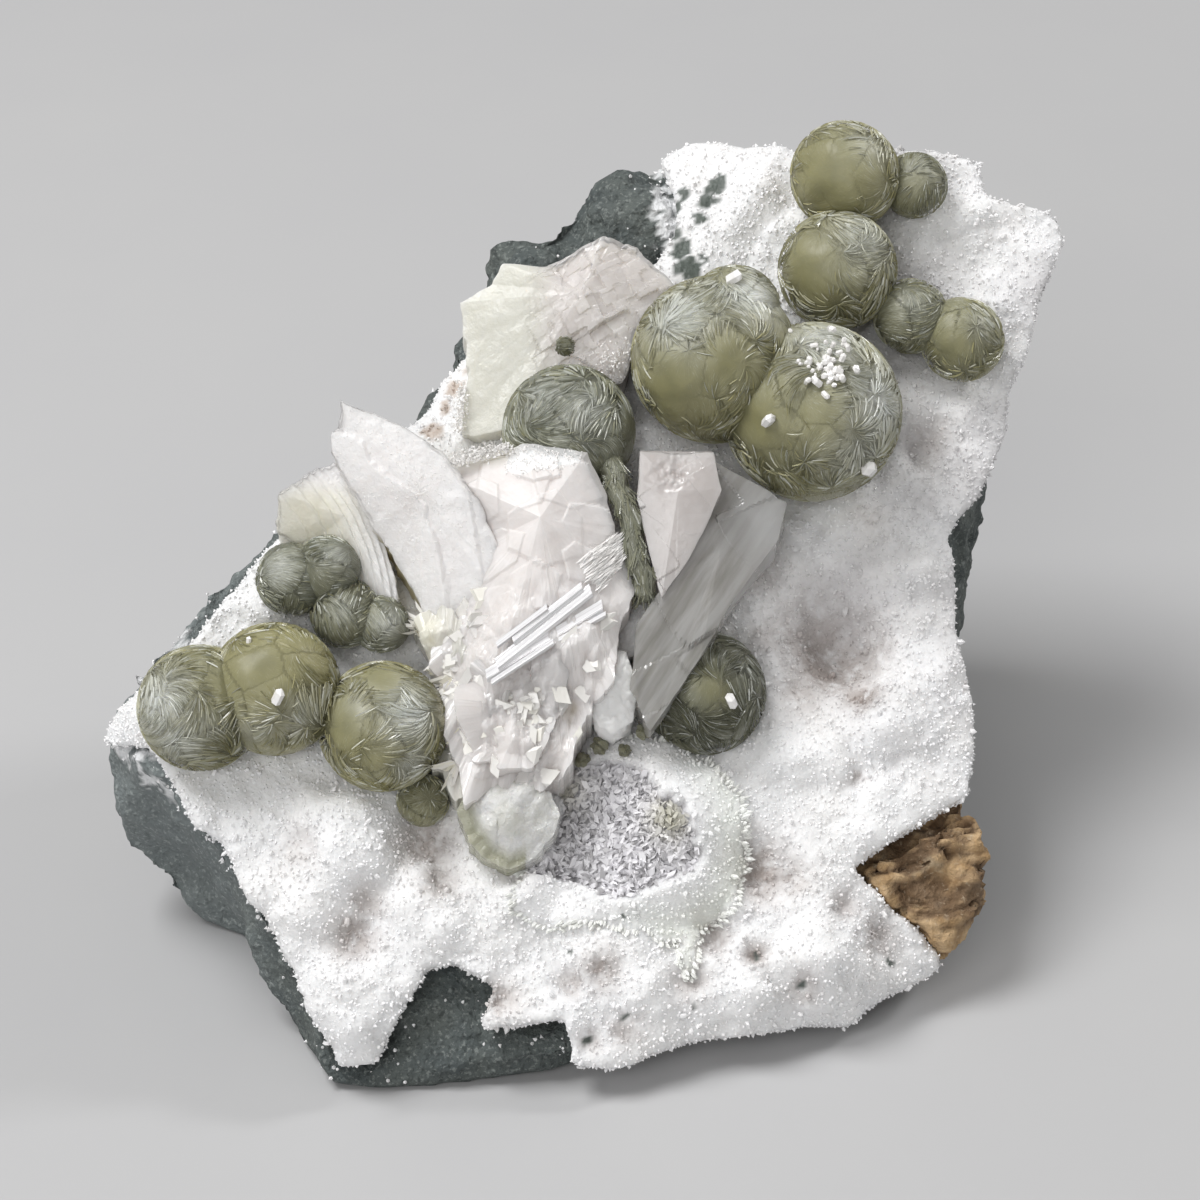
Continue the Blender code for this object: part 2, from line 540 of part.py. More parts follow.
def net_block(name, flat, triangles, top, bottom, around):
    """A closed block between two heights over a net of triangles whose first points go round it."""
    count = len(flat)
    points = np.vstack([np.column_stack([flat, top]), np.column_stack([flat, bottom])])
    faces = triangles.tolist() + (triangles[:, ::-1] + count).tolist()
    for k in range(around):
        following = (k + 1) % around
        faces.append([k, following, following + count, k + count])
    return solid(name, to_floor(points), faces)


def ellipsoid(name, middle, sizes, around, seed, roughness):
    """A lumpy ball with its pole pointing out of the display face."""
    levels = around // 2 + 1
    lat = np.linspace(0, math.pi, levels)[1:-1]
    lon = np.linspace(0, 2 * math.pi, around, endpoint=False) + seed
    a, b = np.meshgrid(lat, lon, indexing="ij")
    ways = np.stack([np.sin(a) * np.cos(b), np.sin(a) * np.sin(b), np.cos(a)], axis=-1)
    ways = np.vstack([ways.reshape(-1, 3), (0, 0, 1), (0, 0, -1)])
    stretch = 1 + roughness * noise(ways, seed, 0.9)
    points = ways * stretch[:, None] * sizes + middle
    rows = len(lat)
    faces = []
    for row in range(rows - 1):
        for k in range(around):
            following = (k + 1) % around
            faces.append([row * around + k, row * around + following,
                          (row + 1) * around + following, (row + 1) * around + k])
    top, bottom = rows * around, rows * around + 1
    for k in range(around):
        following = (k + 1) % around
        faces.append([k, following, top])
        faces.append([(rows - 1) * around + k, (rows - 1) * around + following, bottom])
    return solid(name, to_floor(points), faces)


def ball(name, row, seed, grow=0.0):
    """One gyrolite ball."""
    u, v, w, radius, around = row
    return ellipsoid(name, (u, v, w), np.full(3, radius + grow), around, seed, BALL_ROUGHNESS)


def stem(name, grow=0.0):
    """The strip of gyrolite: ovals along a path, closed at both ends."""
    path = np.asarray(STEM_PATH, float)
    turns = np.linspace(0, 2 * math.pi, 8, endpoint=False)
    points = []
    for k, place in enumerate(path):
        swell = 1 - 0.35 * (k in (0, len(path) - 1)) + 0.1 * (-1) ** k
        wide = STEM_HALF_WIDTH * swell + grow
        deep = STEM_HALF_DEPTH * swell + grow
        for turn in turns:
            points.append(place + (wide * math.cos(turn), 0, deep * math.sin(turn)))
    points = np.array(points)
    points[:8, 1] += grow
    points[-8:, 1] -= grow
    count = len(turns)
    faces = [list(range(count)), list(range(len(points) - 1, len(points) - count - 1, -1))]
    for level in range(len(path) - 1):
        for k in range(count):
            following = (k + 1) % count
            faces.append([level * count + k, level * count + following,
                          (level + 1) * count + following, (level + 1) * count + k])
    return solid(name, to_floor(points), faces)


def plate(name, corners, peak, sunk=0.0):
    """A flat-faced crystal plate: corners round it, and one point that its front facets meet at."""
    rows = np.asarray(corners, float)
    count = len(rows)
    front = rows[:, :3]
    back = np.column_stack([rows[:, :2], rows[:, 3] - sunk])
    heart = front.mean(axis=0) if peak is None else np.array(peak)
    inner = back.mean(axis=0)
    points = np.vstack([front, back, heart, inner])
    faces = []
    for k in range(count):
        following = (k + 1) % count
        faces.append([k, following, 2 * count])
        faces.append([k + count, following + count, 2 * count + 1])
        faces.append([k, following, following + count, k + count])
    return solid(name, to_floor(points), faces)


def cut_all(body, tools):
    """Cuts every tool away from the body."""
    for tool in tools:
        combine(body, tool, "DIFFERENCE")


def grown_balls(rows, seed):
    """Copies of balls, larger by the gap, to cut their neighbours with."""
    return [ball("grown", row, seed + k, GAP) for k, row in enumerate(rows)]


def ball_cluster(name, rows, seed, tools):
    """Balls grown into one another, cut off where they meet what they stand on."""
    balls = [ball(f"{name}_{k}", row, seed + k) for k, row in enumerate(rows)]
    cluster = join_all(name, balls)
    cut_all(cluster, tools)
    return cluster


def build_basalt(name):
    """The basalt wedge with the ochre patch and the two domes grown onto it."""
    body = basalt_block(name, 0.0)
    patch = ochre_block("ochre")
    combine(body, patch, "UNION")
    drop(patch)
    for k, (middle, sizes) in enumerate(DOMES):
        dome = back_dome(f"dome_{k}", middle, sizes)
        combine(body, dome, "UNION")
        drop(dome)
    return body


def build_crust(name, net, under):
    """The white crust, kept off the floor and cut clear of the basalt under it."""
    flat, triangles, height, inside, around = net
    thick = EDGE_THICKNESS + (MOST_THICKNESS - EDGE_THICKNESS) * np.clip(inside / EDGE_ROUNDING, 0, 1)
    lowest = (LEAST_CLEARANCE - flat[:, 1] * math.sin(FACE_SLOPE)) / math.cos(FACE_SLOPE)
    bottom = np.maximum(height - thick, np.minimum(lowest, height - 0.8))
    body = net_block(name, flat, triangles, height, bottom, around)
    cut_all(body, under)
    return body


def build_calcite(name, tools):
    """The main group. Each plate sinks a little further than the last, so that no two backs are level."""
    pieces = []
    for k, (corners, peak) in enumerate(CALCITE_PLATES):
        pieces.append(plate(f"{name}_{k}", corners, peak, SINKING * k))
    body = join_all(name, pieces)
    cut_all(body, tools)
    return body


def build():
    """All the nodes: each is cut clear of its neighbours with copies of them grown by the gap."""
    clear_scene()
    basalt = build_basalt("basalt_matrix")
    grown_basalt = [basalt_block("grown", GAP), ochre_block("grown", GAP)]
    grown_basalt += [back_dome("grown", middle, np.array(sizes) + GAP) for middle, sizes in DOMES]
    crust = build_crust("quartz_crust", crust_net(0.0), grown_basalt)
    flat, triangles, height, _, around = crust_net(GAP)
    under = net_block("under", flat, triangles, height + GAP, np.full(len(flat), DEEP), around)
    ground = [under, *grown_basalt]

    left = ball_cluster("gyrolite_left_cluster", LEFT_BALLS, 1, [under])
    upper_left = ball_cluster("gyrolite_upper_left_cluster", UPPER_LEFT_BALLS, 11, [under])
    centre = ball_cluster("gyrolite_centre_pair", CENTRE_BALLS, 21, [under])
    lower_right = ball_cluster("gyrolite_lower_right_ball", [LOWER_RIGHT_BALL], 31, [under])
    back = ball_cluster("gyrolite_back_cluster", BACK_BALLS, 41, [under])
    middle = ball_cluster("gyrolite_middle_ball", [MIDDLE_BALL], 51, [under])
    strip = stem("strip")
    combine(middle, strip, "UNION")
    drop(strip)
    tiny = ball_cluster("gyrolite_tiny_ball", [TINY_BALL], 61, [])
    lens = ellipsoid("gyrolite_broken_lens", LENS_MIDDLE, np.array(LENS_SIZES), 10, 71, 0.05)
    cut_all(lens, [under])

    grown_middle = grown_balls([MIDDLE_BALL], 51) + [stem("grown_stem", GAP)]
    grown_centre = grown_balls(CENTRE_BALLS, 21)
    grown_rest = grown_balls(LEFT_BALLS, 1) + grown_balls(UPPER_LEFT_BALLS, 11)
    grown_rest += grown_balls([LOWER_RIGHT_BALL], 31)
    grown_rest += [ellipsoid("grown_lens", LENS_MIDDLE, np.array(LENS_SIZES) + GAP, 10, 71, 0.05)]
    grown_tiny = grown_balls([TINY_BALL], 61)
    calcite = build_calcite("calcite_main_group", ground + grown_middle + grown_centre + grown_rest)
    back_plate = plate("calcite_back_plate", BACK_PLATE, BACK_PEAK)
    cut_all(back_plate, ground + grown_middle + grown_centre + grown_tiny)

    drop(*ground, *grown_middle, *grown_centre, *grown_rest, *grown_tiny)
    finish(basalt, "basalt")
    finish(crust, "quartz")
    for body in (left, upper_left, centre, lower_right, back, middle, tiny, lens):
        finish(body, "gyrolite")
    for body in (calcite, back_plate):
        finish(body, "calcite")


build()
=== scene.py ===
# %% [markdown]
# # Gyrolite with calcite on quartz
#
# This lesson dresses a hand-sized mineral specimen. A wedge of broken basalt carries a white crust of
# tiny quartz crystals. Olive balls of gyrolite and pale blades of calcite have grown on the crust.
# The solids of the model are loaded first, and every piece made here lies where its solid lies.
# All the shapes are worked out in millimetres and become metres when a mesh is made.

# %% Load the model
import math

import bmesh
import bpy
import numpy as np
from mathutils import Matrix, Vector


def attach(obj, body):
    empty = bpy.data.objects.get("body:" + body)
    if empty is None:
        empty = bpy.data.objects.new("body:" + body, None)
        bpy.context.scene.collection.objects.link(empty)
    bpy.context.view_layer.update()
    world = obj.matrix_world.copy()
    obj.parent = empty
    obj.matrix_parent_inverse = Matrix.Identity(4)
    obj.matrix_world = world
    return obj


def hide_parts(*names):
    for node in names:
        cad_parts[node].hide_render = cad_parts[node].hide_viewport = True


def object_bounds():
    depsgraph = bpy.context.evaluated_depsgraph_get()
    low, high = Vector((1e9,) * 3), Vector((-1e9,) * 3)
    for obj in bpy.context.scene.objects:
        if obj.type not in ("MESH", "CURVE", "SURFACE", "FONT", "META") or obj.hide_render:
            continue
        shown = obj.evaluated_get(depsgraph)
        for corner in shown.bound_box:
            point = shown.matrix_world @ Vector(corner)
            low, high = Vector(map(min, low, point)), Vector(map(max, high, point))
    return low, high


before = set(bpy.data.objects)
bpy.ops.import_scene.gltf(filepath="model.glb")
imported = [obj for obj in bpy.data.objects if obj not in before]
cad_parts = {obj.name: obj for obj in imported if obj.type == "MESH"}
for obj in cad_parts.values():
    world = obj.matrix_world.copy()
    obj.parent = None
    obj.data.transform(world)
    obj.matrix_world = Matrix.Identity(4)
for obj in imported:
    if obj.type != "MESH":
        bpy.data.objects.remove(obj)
cad_low, cad_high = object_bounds()
print("the model spans", [round(side * 1000, 1) for side in (cad_high - cad_low)], "mm")

# %% [markdown]
# ## The camera, the floor and the light
#
# The specimen is seen from the front and from 35 degrees above, through a long lens that flattens it.
# It lies on a plain pale floor. One broad soft lamp hangs over the back left and draws the crystal
# edges, one fills the front, and a small one at the right makes the crystals sparkle.

# %% Camera
bpy.context.scene.view_settings.view_transform = "Standard"
camera_data = bpy.data.cameras.new("camera")
camera_data.lens = 120
camera_data.sensor_width = 36
camera_data.clip_start = 0.01
camera = bpy.data.objects.new("camera", camera_data)
camera.location = (0.00105, -0.298332, 0.237933)
camera.rotation_euler = (math.radians(55), 0, 0)
bpy.context.scene.collection.objects.link(camera)
bpy.context.scene.camera = camera

# %% Floor and lamps
floor_mesh = bpy.data.meshes.new("floor")
floor_mesh.from_pydata([(-3, -3, 0), (3, -3, 0), (3, 3, 0), (-3, 3, 0)], [], [(0, 1, 2, 3)])
floor = bpy.data.objects.new("floor", floor_mesh)
bpy.context.scene.collection.objects.link(floor)


def lamp(name, place, size, watts, colour=(1, 1, 1)):
    """A square soft lamp that looks at the middle of the specimen."""
    data = bpy.data.lights.new(name, "AREA")
    data.size = size
    data.energy = watts
    data.color = colour
    made = bpy.data.objects.new(name, data)
    made.location = place
    aim = (cad_low + cad_high) / 2 - made.location
    made.rotation_euler = aim.to_track_quat("-Z", "Y").to_euler()
    bpy.context.scene.collection.objects.link(made)
    return made


lamp("lamp_above", (-0.34, 0.00, 0.74), 0.34, 4.9)
lamp("lamp_front", (-0.30, -0.70, 0.50), 0.5, 2.4)
lamp("lamp_right", (0.50, 0.20, 0.45), 0.10, 1.2)
world = bpy.data.worlds.new("studio")
world.use_nodes = True
world.node_tree.nodes["Background"].inputs["Color"].default_value = (1.0, 0.985, 0.965, 1)
world.node_tree.nodes["Background"].inputs["Strength"].default_value = 0.28
bpy.context.scene.world = world

# %% [markdown]
# ## The frame of the crystal face
#
# The white crust covers a face that climbs away from the viewer at 35 degrees. Places on it are
# easiest to give in its own frame: u to the right, v up the slope and w straight out of it.

# %% Frame of the crystal face
MM = 0.001
SLOPE = math.radians(35)
MIDDLE = np.array([-1.05, 34.4, 0.0])
OUT = np.array([0.0, -math.sin(SLOPE), math.cos(SLOPE)])
UP_SLOPE = np.array([0.0, math.cos(SLOPE), math.sin(SLOPE)])
RIGHT = np.array([1.0, 0.0, 0.0])


def to_room(places):
    """Rows of u, v, w become x, y, z: u along x, v and w turned by the slope, then centred."""
    places = np.asarray(places, float)
    turned = places[..., :1] * RIGHT + places[..., 1:2] * UP_SLOPE + places[..., 2:3] * OUT
    return turned - MIDDLE


def to_face(points):
    """Rows of x, y, z become u, v, w: the same turn backwards."""
    turned = np.asarray(points, float) + MIDDLE
    return np.stack([turned @ RIGHT, turned @ UP_SLOPE, turned @ OUT], axis=-1)


def seen_from_front(right, down):
    """The way from the middle of a ball to the spot on it that the viewer sees at these shares of its radius."""
    towards = math.sqrt(max(0.0, 1 - right**2 - down**2))
    return np.array([right, -0.819 * towards - 0.574 * down, 0.574 * towards - 0.819 * down])


# %% [markdown]
# ## Roughness from numbers
#
# Broken rock and grown crystal are rough at many sizes at once. Two kinds of noise give that here.
# `cloud` blends random numbers from the corners of a lattice, which gives soft swells. `cells` puts a
# random seed into each cube of a lattice and finds the nearest, which gives chips, knobs and steps
# with straight borders.

# %% Noise
def lattice_numbers(cells, seed):
    """One number from 0 to 1 for each row of whole numbers: the row is mixed into one and scrambled."""
    mixed = (cells[..., 0] * 73856093) ^ (cells[..., 1] * 19349663) ^ (cells[..., 2] * 83492791)
    mixed = (mixed + seed * 2654435761) & 0xFFFFFFFF
    for shift, factor in ((16, 0x45D9F3B), (15, 0x2C1B3C6D), (16, 1)):
        mixed = ((mixed ^ (mixed >> shift)) * factor) & 0xFFFFFFFF
    return mixed / 0xFFFFFFFF


def cloud(points, size, seed, layers=3):
    """Soft swells from -1 to 1: a sum of layers, each half the size and half the strength of the last."""
    total = np.zeros(len(points))
    weight = 0.0
    for layer in range(layers):
        scaled = points / size * 2**layer
        base = np.floor(scaled).astype(np.int64)
        share = scaled - base
        share = share * share * (3 - 2 * share)
        value = np.zeros(len(points))
        for corner in np.ndindex(2, 2, 2):
            near = np.where(np.array(corner) == 1, share, 1 - share).prod(axis=1)
            value += near * lattice_numbers(base + corner, seed + layer)
        total += (value * 2 - 1) / 2**layer
        weight += 1 / 2**layer
    return total / weight * 1.6


def cells(points, size, seed):
    """Distance to the nearest seed and to the next one, in cell sizes, a number for the nearest and the way from it."""
    scaled = points / size
    base = np.floor(scaled).astype(np.int64)
    first = np.full(len(points), 9.0)
    second = np.full(len(points), 9.0)
    kind = np.zeros(len(points))
    offset = np.zeros((len(points), 3))
    for step in np.ndindex(3, 3, 3):
        cell = base + np.array(step) - 1
        seeds = cell + np.stack([lattice_numbers(cell, seed + k) for k in range(3)], axis=-1)
        away = np.linalg.norm(scaled - seeds, axis=1)
        nearer = away < first
        second = np.where(nearer, first, np.minimum(second, away))
        kind = np.where(nearer, lattice_numbers(cell, seed + 7), kind)
        offset = np.where(nearer[:, None], scaled - seeds, offset)
        first = np.where(nearer, away, first)
    return first, second, kind, offset


def knobs(points, size, seed):
    """Round knobs that meet in sharp valleys: the upper part of a circle over each seed."""
    first, _, kind, _ = cells(points, size, seed)
    return np.sqrt(np.clip(1.1 - first**2, 0, None)) * (0.6 + 0.6 * kind) - 0.6


def smooth_step(low, high, value):
    """0 below low, 1 above high, and an even curve between."""
    share = np.clip((value - low) / (high - low), 0, 1)
    return share * share * (3 - 2 * share)


# %% [markdown]
# ## From arrays to meshes
#
# Every new piece is a closed net of triangles. `surface` puts arrays of points and triangles into a
# mesh, and `mark` stores a number with every point, which a material can read. `finer_copy` takes a
# copy of a solid of the model and lays an even net of small squares over it, so that it can be
# roughened. The solid itself is left alone.

# %% Meshes
def surface(name, points, triangles, smooth=True):
    """An object from points in millimetres and triangles of corner numbers."""
    mesh = bpy.data.meshes.new(name)
    mesh.from_pydata((np.asarray(points) * MM).astype(np.float32), [], np.asarray(triangles))
    mesh.polygons.foreach_set("use_smooth", np.full(len(mesh.polygons), smooth))
    made = bpy.data.objects.new(name, mesh)
    bpy.context.scene.collection.objects.link(made)
    return made


def mark(piece, name, values):
    """Stores one number with every point of the piece."""
    kept = piece.data.attributes.new(name, "FLOAT", "POINT")
    kept.data.foreach_set("value", np.asarray(values, np.float32))


def points_of(piece):
    """The points of a mesh in millimetres, and the outward way at each."""
    count = len(piece.data.vertices)
    points = np.empty(count * 3, np.float32)
    ways = np.empty(count * 3, np.float32)
    piece.data.vertices.foreach_get("co", points)
    piece.data.vertex_normals.foreach_get("vector", ways)
    return points.reshape(-1, 3).astype(float) / MM, ways.reshape(-1, 3).astype(float)


def move_points(piece, points):
    """Puts changed points back into the mesh."""
    piece.data.vertices.foreach_set("co", (points * MM).astype(np.float32).ravel())
    piece.data.update()


def finer_copy(node, name, square, smoothing):
    """A copy of a solid as an even net of small squares, its edges rounded by some smoothing steps."""
    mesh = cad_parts[node].data.copy()
    net = bmesh.new()
    net.from_mesh(mesh)
    bmesh.ops.remove_doubles(net, verts=net.verts, dist=0.000001)
    net.to_mesh(mesh)
    net.free()
    made = bpy.data.objects.new(name, mesh)
    bpy.context.scene.collection.objects.link(made)
    remesh = made.modifiers.new("net", "REMESH")
    remesh.mode = "VOXEL"
    remesh.voxel_size = square * MM
    if smoothing:
        rounded = made.modifiers.new("rounded", "SMOOTH")
        rounded.factor = 0.5
        rounded.iterations = smoothing
    bpy.context.view_layer.update()
    fine = bpy.data.meshes.new_from_object(made.evaluated_get(bpy.context.evaluated_depsgraph_get()))
    made.modifiers.clear()
    made.data = fine
    fine.materials.clear()
    fine.polygons.foreach_set("use_smooth", np.full(len(fine.polygons), True))
    print(name, "has", len(fine.polygons), "small squares")
    return made


def skin(rings, first, last):
    """Triangles of a closed skin: rings of equal length one after the other, and a point at either end."""
    levels, around = rings.shape[:2]
    k = np.arange(around)
    following = (k + 1) % around
    level = np.arange(levels - 1)[:, None] * around
    a, b = level + k, level + following
    c, d = b + around, a + around
    sides = np.concatenate([np.stack([a, b, c], -1).reshape(-1, 3), np.stack([a, c, d], -1).reshape(-1, 3)])
    end = (levels - 1) * around
    low = np.stack([following, k, np.full(around, levels * around)], -1)
    high = np.stack([end + k, end + following, np.full(around, levels * around + 1)], -1)
    points = np.vstack([rings.reshape(-1, 3), first, last])
    triangles = np.concatenate([sides, low, high])
    corners = points[triangles]
    volume = np.einsum("ij,ij->", corners[:, 0], np.cross(corners[:, 1], corners[:, 2]))
    return points, triangles if volume > 0 else triangles[:, ::-1]


def gathered(shapes):
    """Several pairs of points and triangles as one pair."""
    points, triangles, start = [], [], 0
    for some_points, some_triangles in shapes:
        points.append(some_points)
        triangles.append(some_triangles + start)
        start += len(some_points)
    return np.vstack(points), np.vstack(triangles)


def copies(shape, places, axes, sizes):
    """One small shape set down many times: sizes stretch it, axes (three unit rows) turn it, places move it."""
    points, triangles = shape
    turned = np.einsum("pk,nk,nkj->npj", points, sizes, axes) + places[:, None, :]
    moved = triangles[None] + (np.arange(len(places)) * len(points))[:, None, None]
    return turned.reshape(-1, 3), moved.reshape(-1, 3)


def axes_along(ways, rng, spread):
    """For each way, three unit rows: two across it, turned at random, and the way itself, leaning by the spread."""
    leaning = ways + rng.normal(size=ways.shape) * spread
    leaning /= np.linalg.norm(leaning, axis=1)[:, None]
    across = np.cross(leaning, rng.normal(size=ways.shape))
    across /= np.linalg.norm(across, axis=1)[:, None]
    return np.stack([across, np.cross(leaning, across), leaning], axis=1)


# %% [markdown]
# ## Materials as sums
#
# A material is a net of small calculators. Wiring them by hand hides what they work out, so `Value`
# wraps one socket and lets it be added, multiplied and so on, as if it were a number. `Finish` holds
# one material, makes its other nodes and ends in one shader.

# %% Values and finishes
class Value:
    """A socket that can be used in sums. Each sum adds one calculator to the material."""

    def __init__(self, finish, socket):
        self.finish = finish
        self.socket = socket

    def sum(self, operation, *parts):
        return self.finish.node("Math", {"operation": operation}, dict(enumerate(parts)))

    def __add__(self, other):
        return self.sum("ADD", self, other)

    def __sub__(self, other):
        return self.sum("SUBTRACT", self, other)

    def __rsub__(self, other):
        return self.sum("SUBTRACT", other, self)

    def __mul__(self, other):
        return self.sum("MULTIPLY", self, other)

    __radd__ = __add__
    __rmul__ = __mul__

    def __truediv__(self, other):
        return self.sum("DIVIDE", self, other)

    def __pow__(self, other):
        return self.sum("POWER", self, other)

    def over(self, low, high):
        """0 below low, 1 above high, and an even climb between."""
        return self.finish.node("MapRange", {"clamp": True}, {"Value": self, "From Min": low, "From Max": high})


class Finish:
    """One material: its nodes are made here, and `shade` gives them to the shader."""

    def __init__(self, name):
        self.material = bpy.data.materials.new(name)
        self.material.use_nodes = True
        self.tree = self.material.node_tree
        self.shader = self.tree.nodes["Principled BSDF"]
        self.places = self.node("TexCoord", {}, {}, "Object")

    def node(self, kind, settings, inputs, output=0):
        made = self.tree.nodes.new("ShaderNode" + kind)
        for name, setting in settings.items():
            setattr(made, name, setting)
        for name, given in inputs.items():
            self.feed(made.inputs[name], given)
        return Value(self, made.outputs[output])

    def feed(self, socket, given):
        if isinstance(given, Value):
            self.tree.links.new(given.socket, socket)
        elif isinstance(given, tuple) and len(given) == 3 and socket.type == "RGBA":
            socket.default_value = (*given, 1)
        else:
            socket.default_value = given

    def marked(self, name):
        """The number that `mark` stored under this name."""
        return self.node("Attribute", {"attribute_name": name}, {}, "Fac")

    def specks(self, size, detail=3.0, places=None, roughness=0.6):
        """Soft random specks, with their size in millimetres."""
        inputs = {"Vector": places or self.places, "Scale": 1 / (size * MM), "Detail": detail, "Roughness": roughness}
        return self.node("TexNoise", {}, inputs, 0)

    def grains(self, size, output="Distance"):
        """Random cells, with their size in millimetres: the distance to the middle, or a colour for each."""
        return self.node("TexVoronoi", {}, {"Vector": self.places, "Scale": 1 / (size * MM)}, output)

    def mix(self, share, first, second):
        """A blend of two colours."""
        return self.node("Mix", {"data_type": "RGBA"}, {0: share, 6: first, 7: second}, 2)

    def bump(self, height, depth, strength=1.0):
        """A relief that only the light sees, with its depth in millimetres."""
        return self.node("Bump", {}, {"Height": height, "Distance": depth * MM, "Strength": strength})

    def shade(self, colour, roughness, normal=None, **plain):
        self.feed(self.shader.inputs["Base Color"], colour)
        self.feed(self.shader.inputs["Roughness"], roughness)
        if normal:
            self.feed(self.shader.inputs["Normal"], normal)
        plain.setdefault("Subsurface_Radius", (1.0, 0.95, 0.9))
        for name, number in plain.items():
            self.feed(self.shader.inputs[name.replace("_", " ")], number)
        return self.material


def dress(piece, finish, slot, *nodes):
    """Gives the piece its material, lets it ride with the specimen and hides the solids it stands for."""
    piece.data.materials.append(getattr(finish, "material", finish))
    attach(piece, "root")
    if nodes:
        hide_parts(*nodes)
    print(piece.name, "has", sum(len(p.vertices) - 2 for p in piece.data.polygons), "triangles")
    return piece


# %% Floor finish
paper = Finish("floor_paper")
floor.data.materials.append(paper.shade(
    paper.mix(paper.specks(40.0), (0.46, 0.46, 0.47), (0.49, 0.49, 0.49)), 0.7))

# %% [markdown]
# ## The basalt
#
# The matrix is altered basalt: grey-green, fine-grained and broken by hand, so its walls are a
# patchwork of chipped faces. One corner at the right is weathered to ochre. The wedge is a finer copy
# of its solid. Chips are cut by moving each point along its outward way by the cell noise, and the
# resting face is left flat.

# %% Basalt shape
OCHRE_OUTLINE = np.array([
    (21.0, 18.8), (23.2, 21.6), (33.6, 29.0), (36.0, 25.5), (37.5, 21.2), (37.0, 16.0), (32.4, 11.6), (29.0, 12.6),
])


def inside_outline(places, outline):
    """How far each u, v lies inside the outline in millimetres, with a minus sign outside it."""
    best = np.full(len(places), 1e9)
    inside = np.zeros(len(places), bool)
    for start, end in zip(outline, np.roll(outline, -1, axis=0)):
        along = end - start
        share = np.clip((places - start) @ along / (along @ along), 0, 1)
        best = np.minimum(best, np.linalg.norm(places - start - share[:, None] * along, axis=1))
        crosses = (start[1] > places[:, 1]) != (end[1] > places[:, 1])
        meet = start[0] + (places[:, 1] - start[1]) * along[0] / (along[1] if along[1] else 1.0)
        inside ^= crosses & (places[:, 0] < meet)
    return np.where(inside, best, -best)


basalt = finer_copy("basalt_matrix", "basalt_rock", 0.5, 5)
rock, rock_out = points_of(basalt)
first, second, kind, _ = cells(rock + cloud(rock, 4.0, 3)[:, None] * 1.2, 5.5, 21)
chips = (kind - 0.5) * 1.0 * smooth_step(0.02, 0.22, second - first)
fine_first, fine_second, fine_kind, _ = cells(rock, 1.9, 31)
chips += (fine_kind - 0.5) * 0.42 * smooth_step(0.02, 0.3, fine_second - fine_first)
chips *= 1 + 0.45 * smooth_step(-2.0, 12.0, rock[:, 1])
chips += 0.35 * cloud(rock, 3.0, 5, 4)
rock_face = to_face(rock)
ochre = smooth_step(-0.6, 0.6, inside_outline(rock_face[:, :2], OCHRE_OUTLINE)) * (rock_face[:, 2] > -6.5)
fibres = cloud(rock_face * (0.28, 1.0, 1.0) + rock_face[:, [1]] * (0.1, 0, 0), 1.5, 9, 4)
slits = smooth_step(0.10, 0.0, np.abs(cloud(rock_face * (0.3, 1.0, 0.8), 3.2, 19, 2)))
splinters = cloud(rock_face * (0.35, 1.6, 1.6), 0.9, 29, 3)
chips = chips * (1 - 0.5 * ochre) + ochre * (0.45 * fibres + 0.28 * splinters - slits * 1.0)
chips += 0.10 * cloud(rock, 0.9, 6, 2)
above_floor = smooth_step(0.2, 1.6, rock[:, 2])
rock = rock + rock_out * ((chips - 0.25) * above_floor)[:, None]
rock[:, 2] = np.maximum(rock[:, 2], 0)
move_points(basalt, rock)
mark(basalt, "ochre", ochre)
near_crust = smooth_step(2.6, 6.6, rock_face[:, 0]) * smooth_step(72.0, 75.0, rock_face[:, 1]) * (rock_face[:, 2] > 2.0)
near_crust = np.maximum(near_crust, 0.9 * smooth_step(-34.0, -38.5, rock_face[:, 0]) * smooth_step(0.5, 3.5, rock_face[:, 2]))
near_crust = np.maximum(near_crust, 0.75 * smooth_step(6.5, 8.5, rock_face[:, 2] - 0.11 * rock_face[:, 1]) * (rock_face[:, 0] < 3))
mark(basalt, "film", smooth_step(0.50, 0.62, near_crust * (0.62 + 0.5 * cloud(rock, 1.1, 8, 3))))
# Painted shade: the lowest spots of the ochre's relief are darkened near black.
mark(basalt, "painted_pit_shade", smooth_step(0.25, -0.35, chips))
mark(basalt, "bloom", smooth_step(-26.0, -36.0, rock_face[:, 0]))

# %% [markdown]
# The rock's colour comes from three sizes of speck: broad green-grey clouds, pale grains and dark
# ones. Near the left corner a thin white film of quartz creeps over the edge, so the mask for it
# follows the height above the crystal face.

# %% Basalt finish
stone = Finish("basalt_and_ochre")
broad = stone.specks(7.0).over(0.35, 0.65)
pale = stone.specks(0.4, 3.0).over(0.54, 0.66)
dark = stone.specks(0.6, 3.0).over(0.45, 0.34)
grey = stone.mix(broad, (0.082, 0.098, 0.098), (0.125, 0.142, 0.132))
grey = stone.mix(pale * (stone.marked("bloom") * 0.5 + 0.4), grey, (0.40, 0.43, 0.41))
grey = stone.mix(dark * (0.65 - stone.marked("bloom") * 0.4), grey, (0.035, 0.042, 0.042))
grey = stone.mix(stone.marked("bloom") * 0.5, grey, (0.29, 0.325, 0.33))
rust = stone.mix(stone.specks(1.6, 5.0).over(0.35, 0.65), (0.43, 0.27, 0.125), (0.70, 0.50, 0.29))
rust = stone.mix(stone.specks(2.5, 2.0).over(0.58, 0.70) * 0.5, rust, (0.50, 0.44, 0.33))
# Painted shade in the low spots of the ochre.
rust = stone.mix(stone.marked("painted_pit_shade") * 0.8, rust, (0.10, 0.055, 0.03))
rust = stone.mix(stone.specks(0.5).over(0.6, 0.72) * 0.5, rust, (0.62, 0.5, 0.36))
stone_relief = stone.specks(0.5, 5.0) + stone.grains(0.7) * 0.6 + stone.marked("film") * 0.4
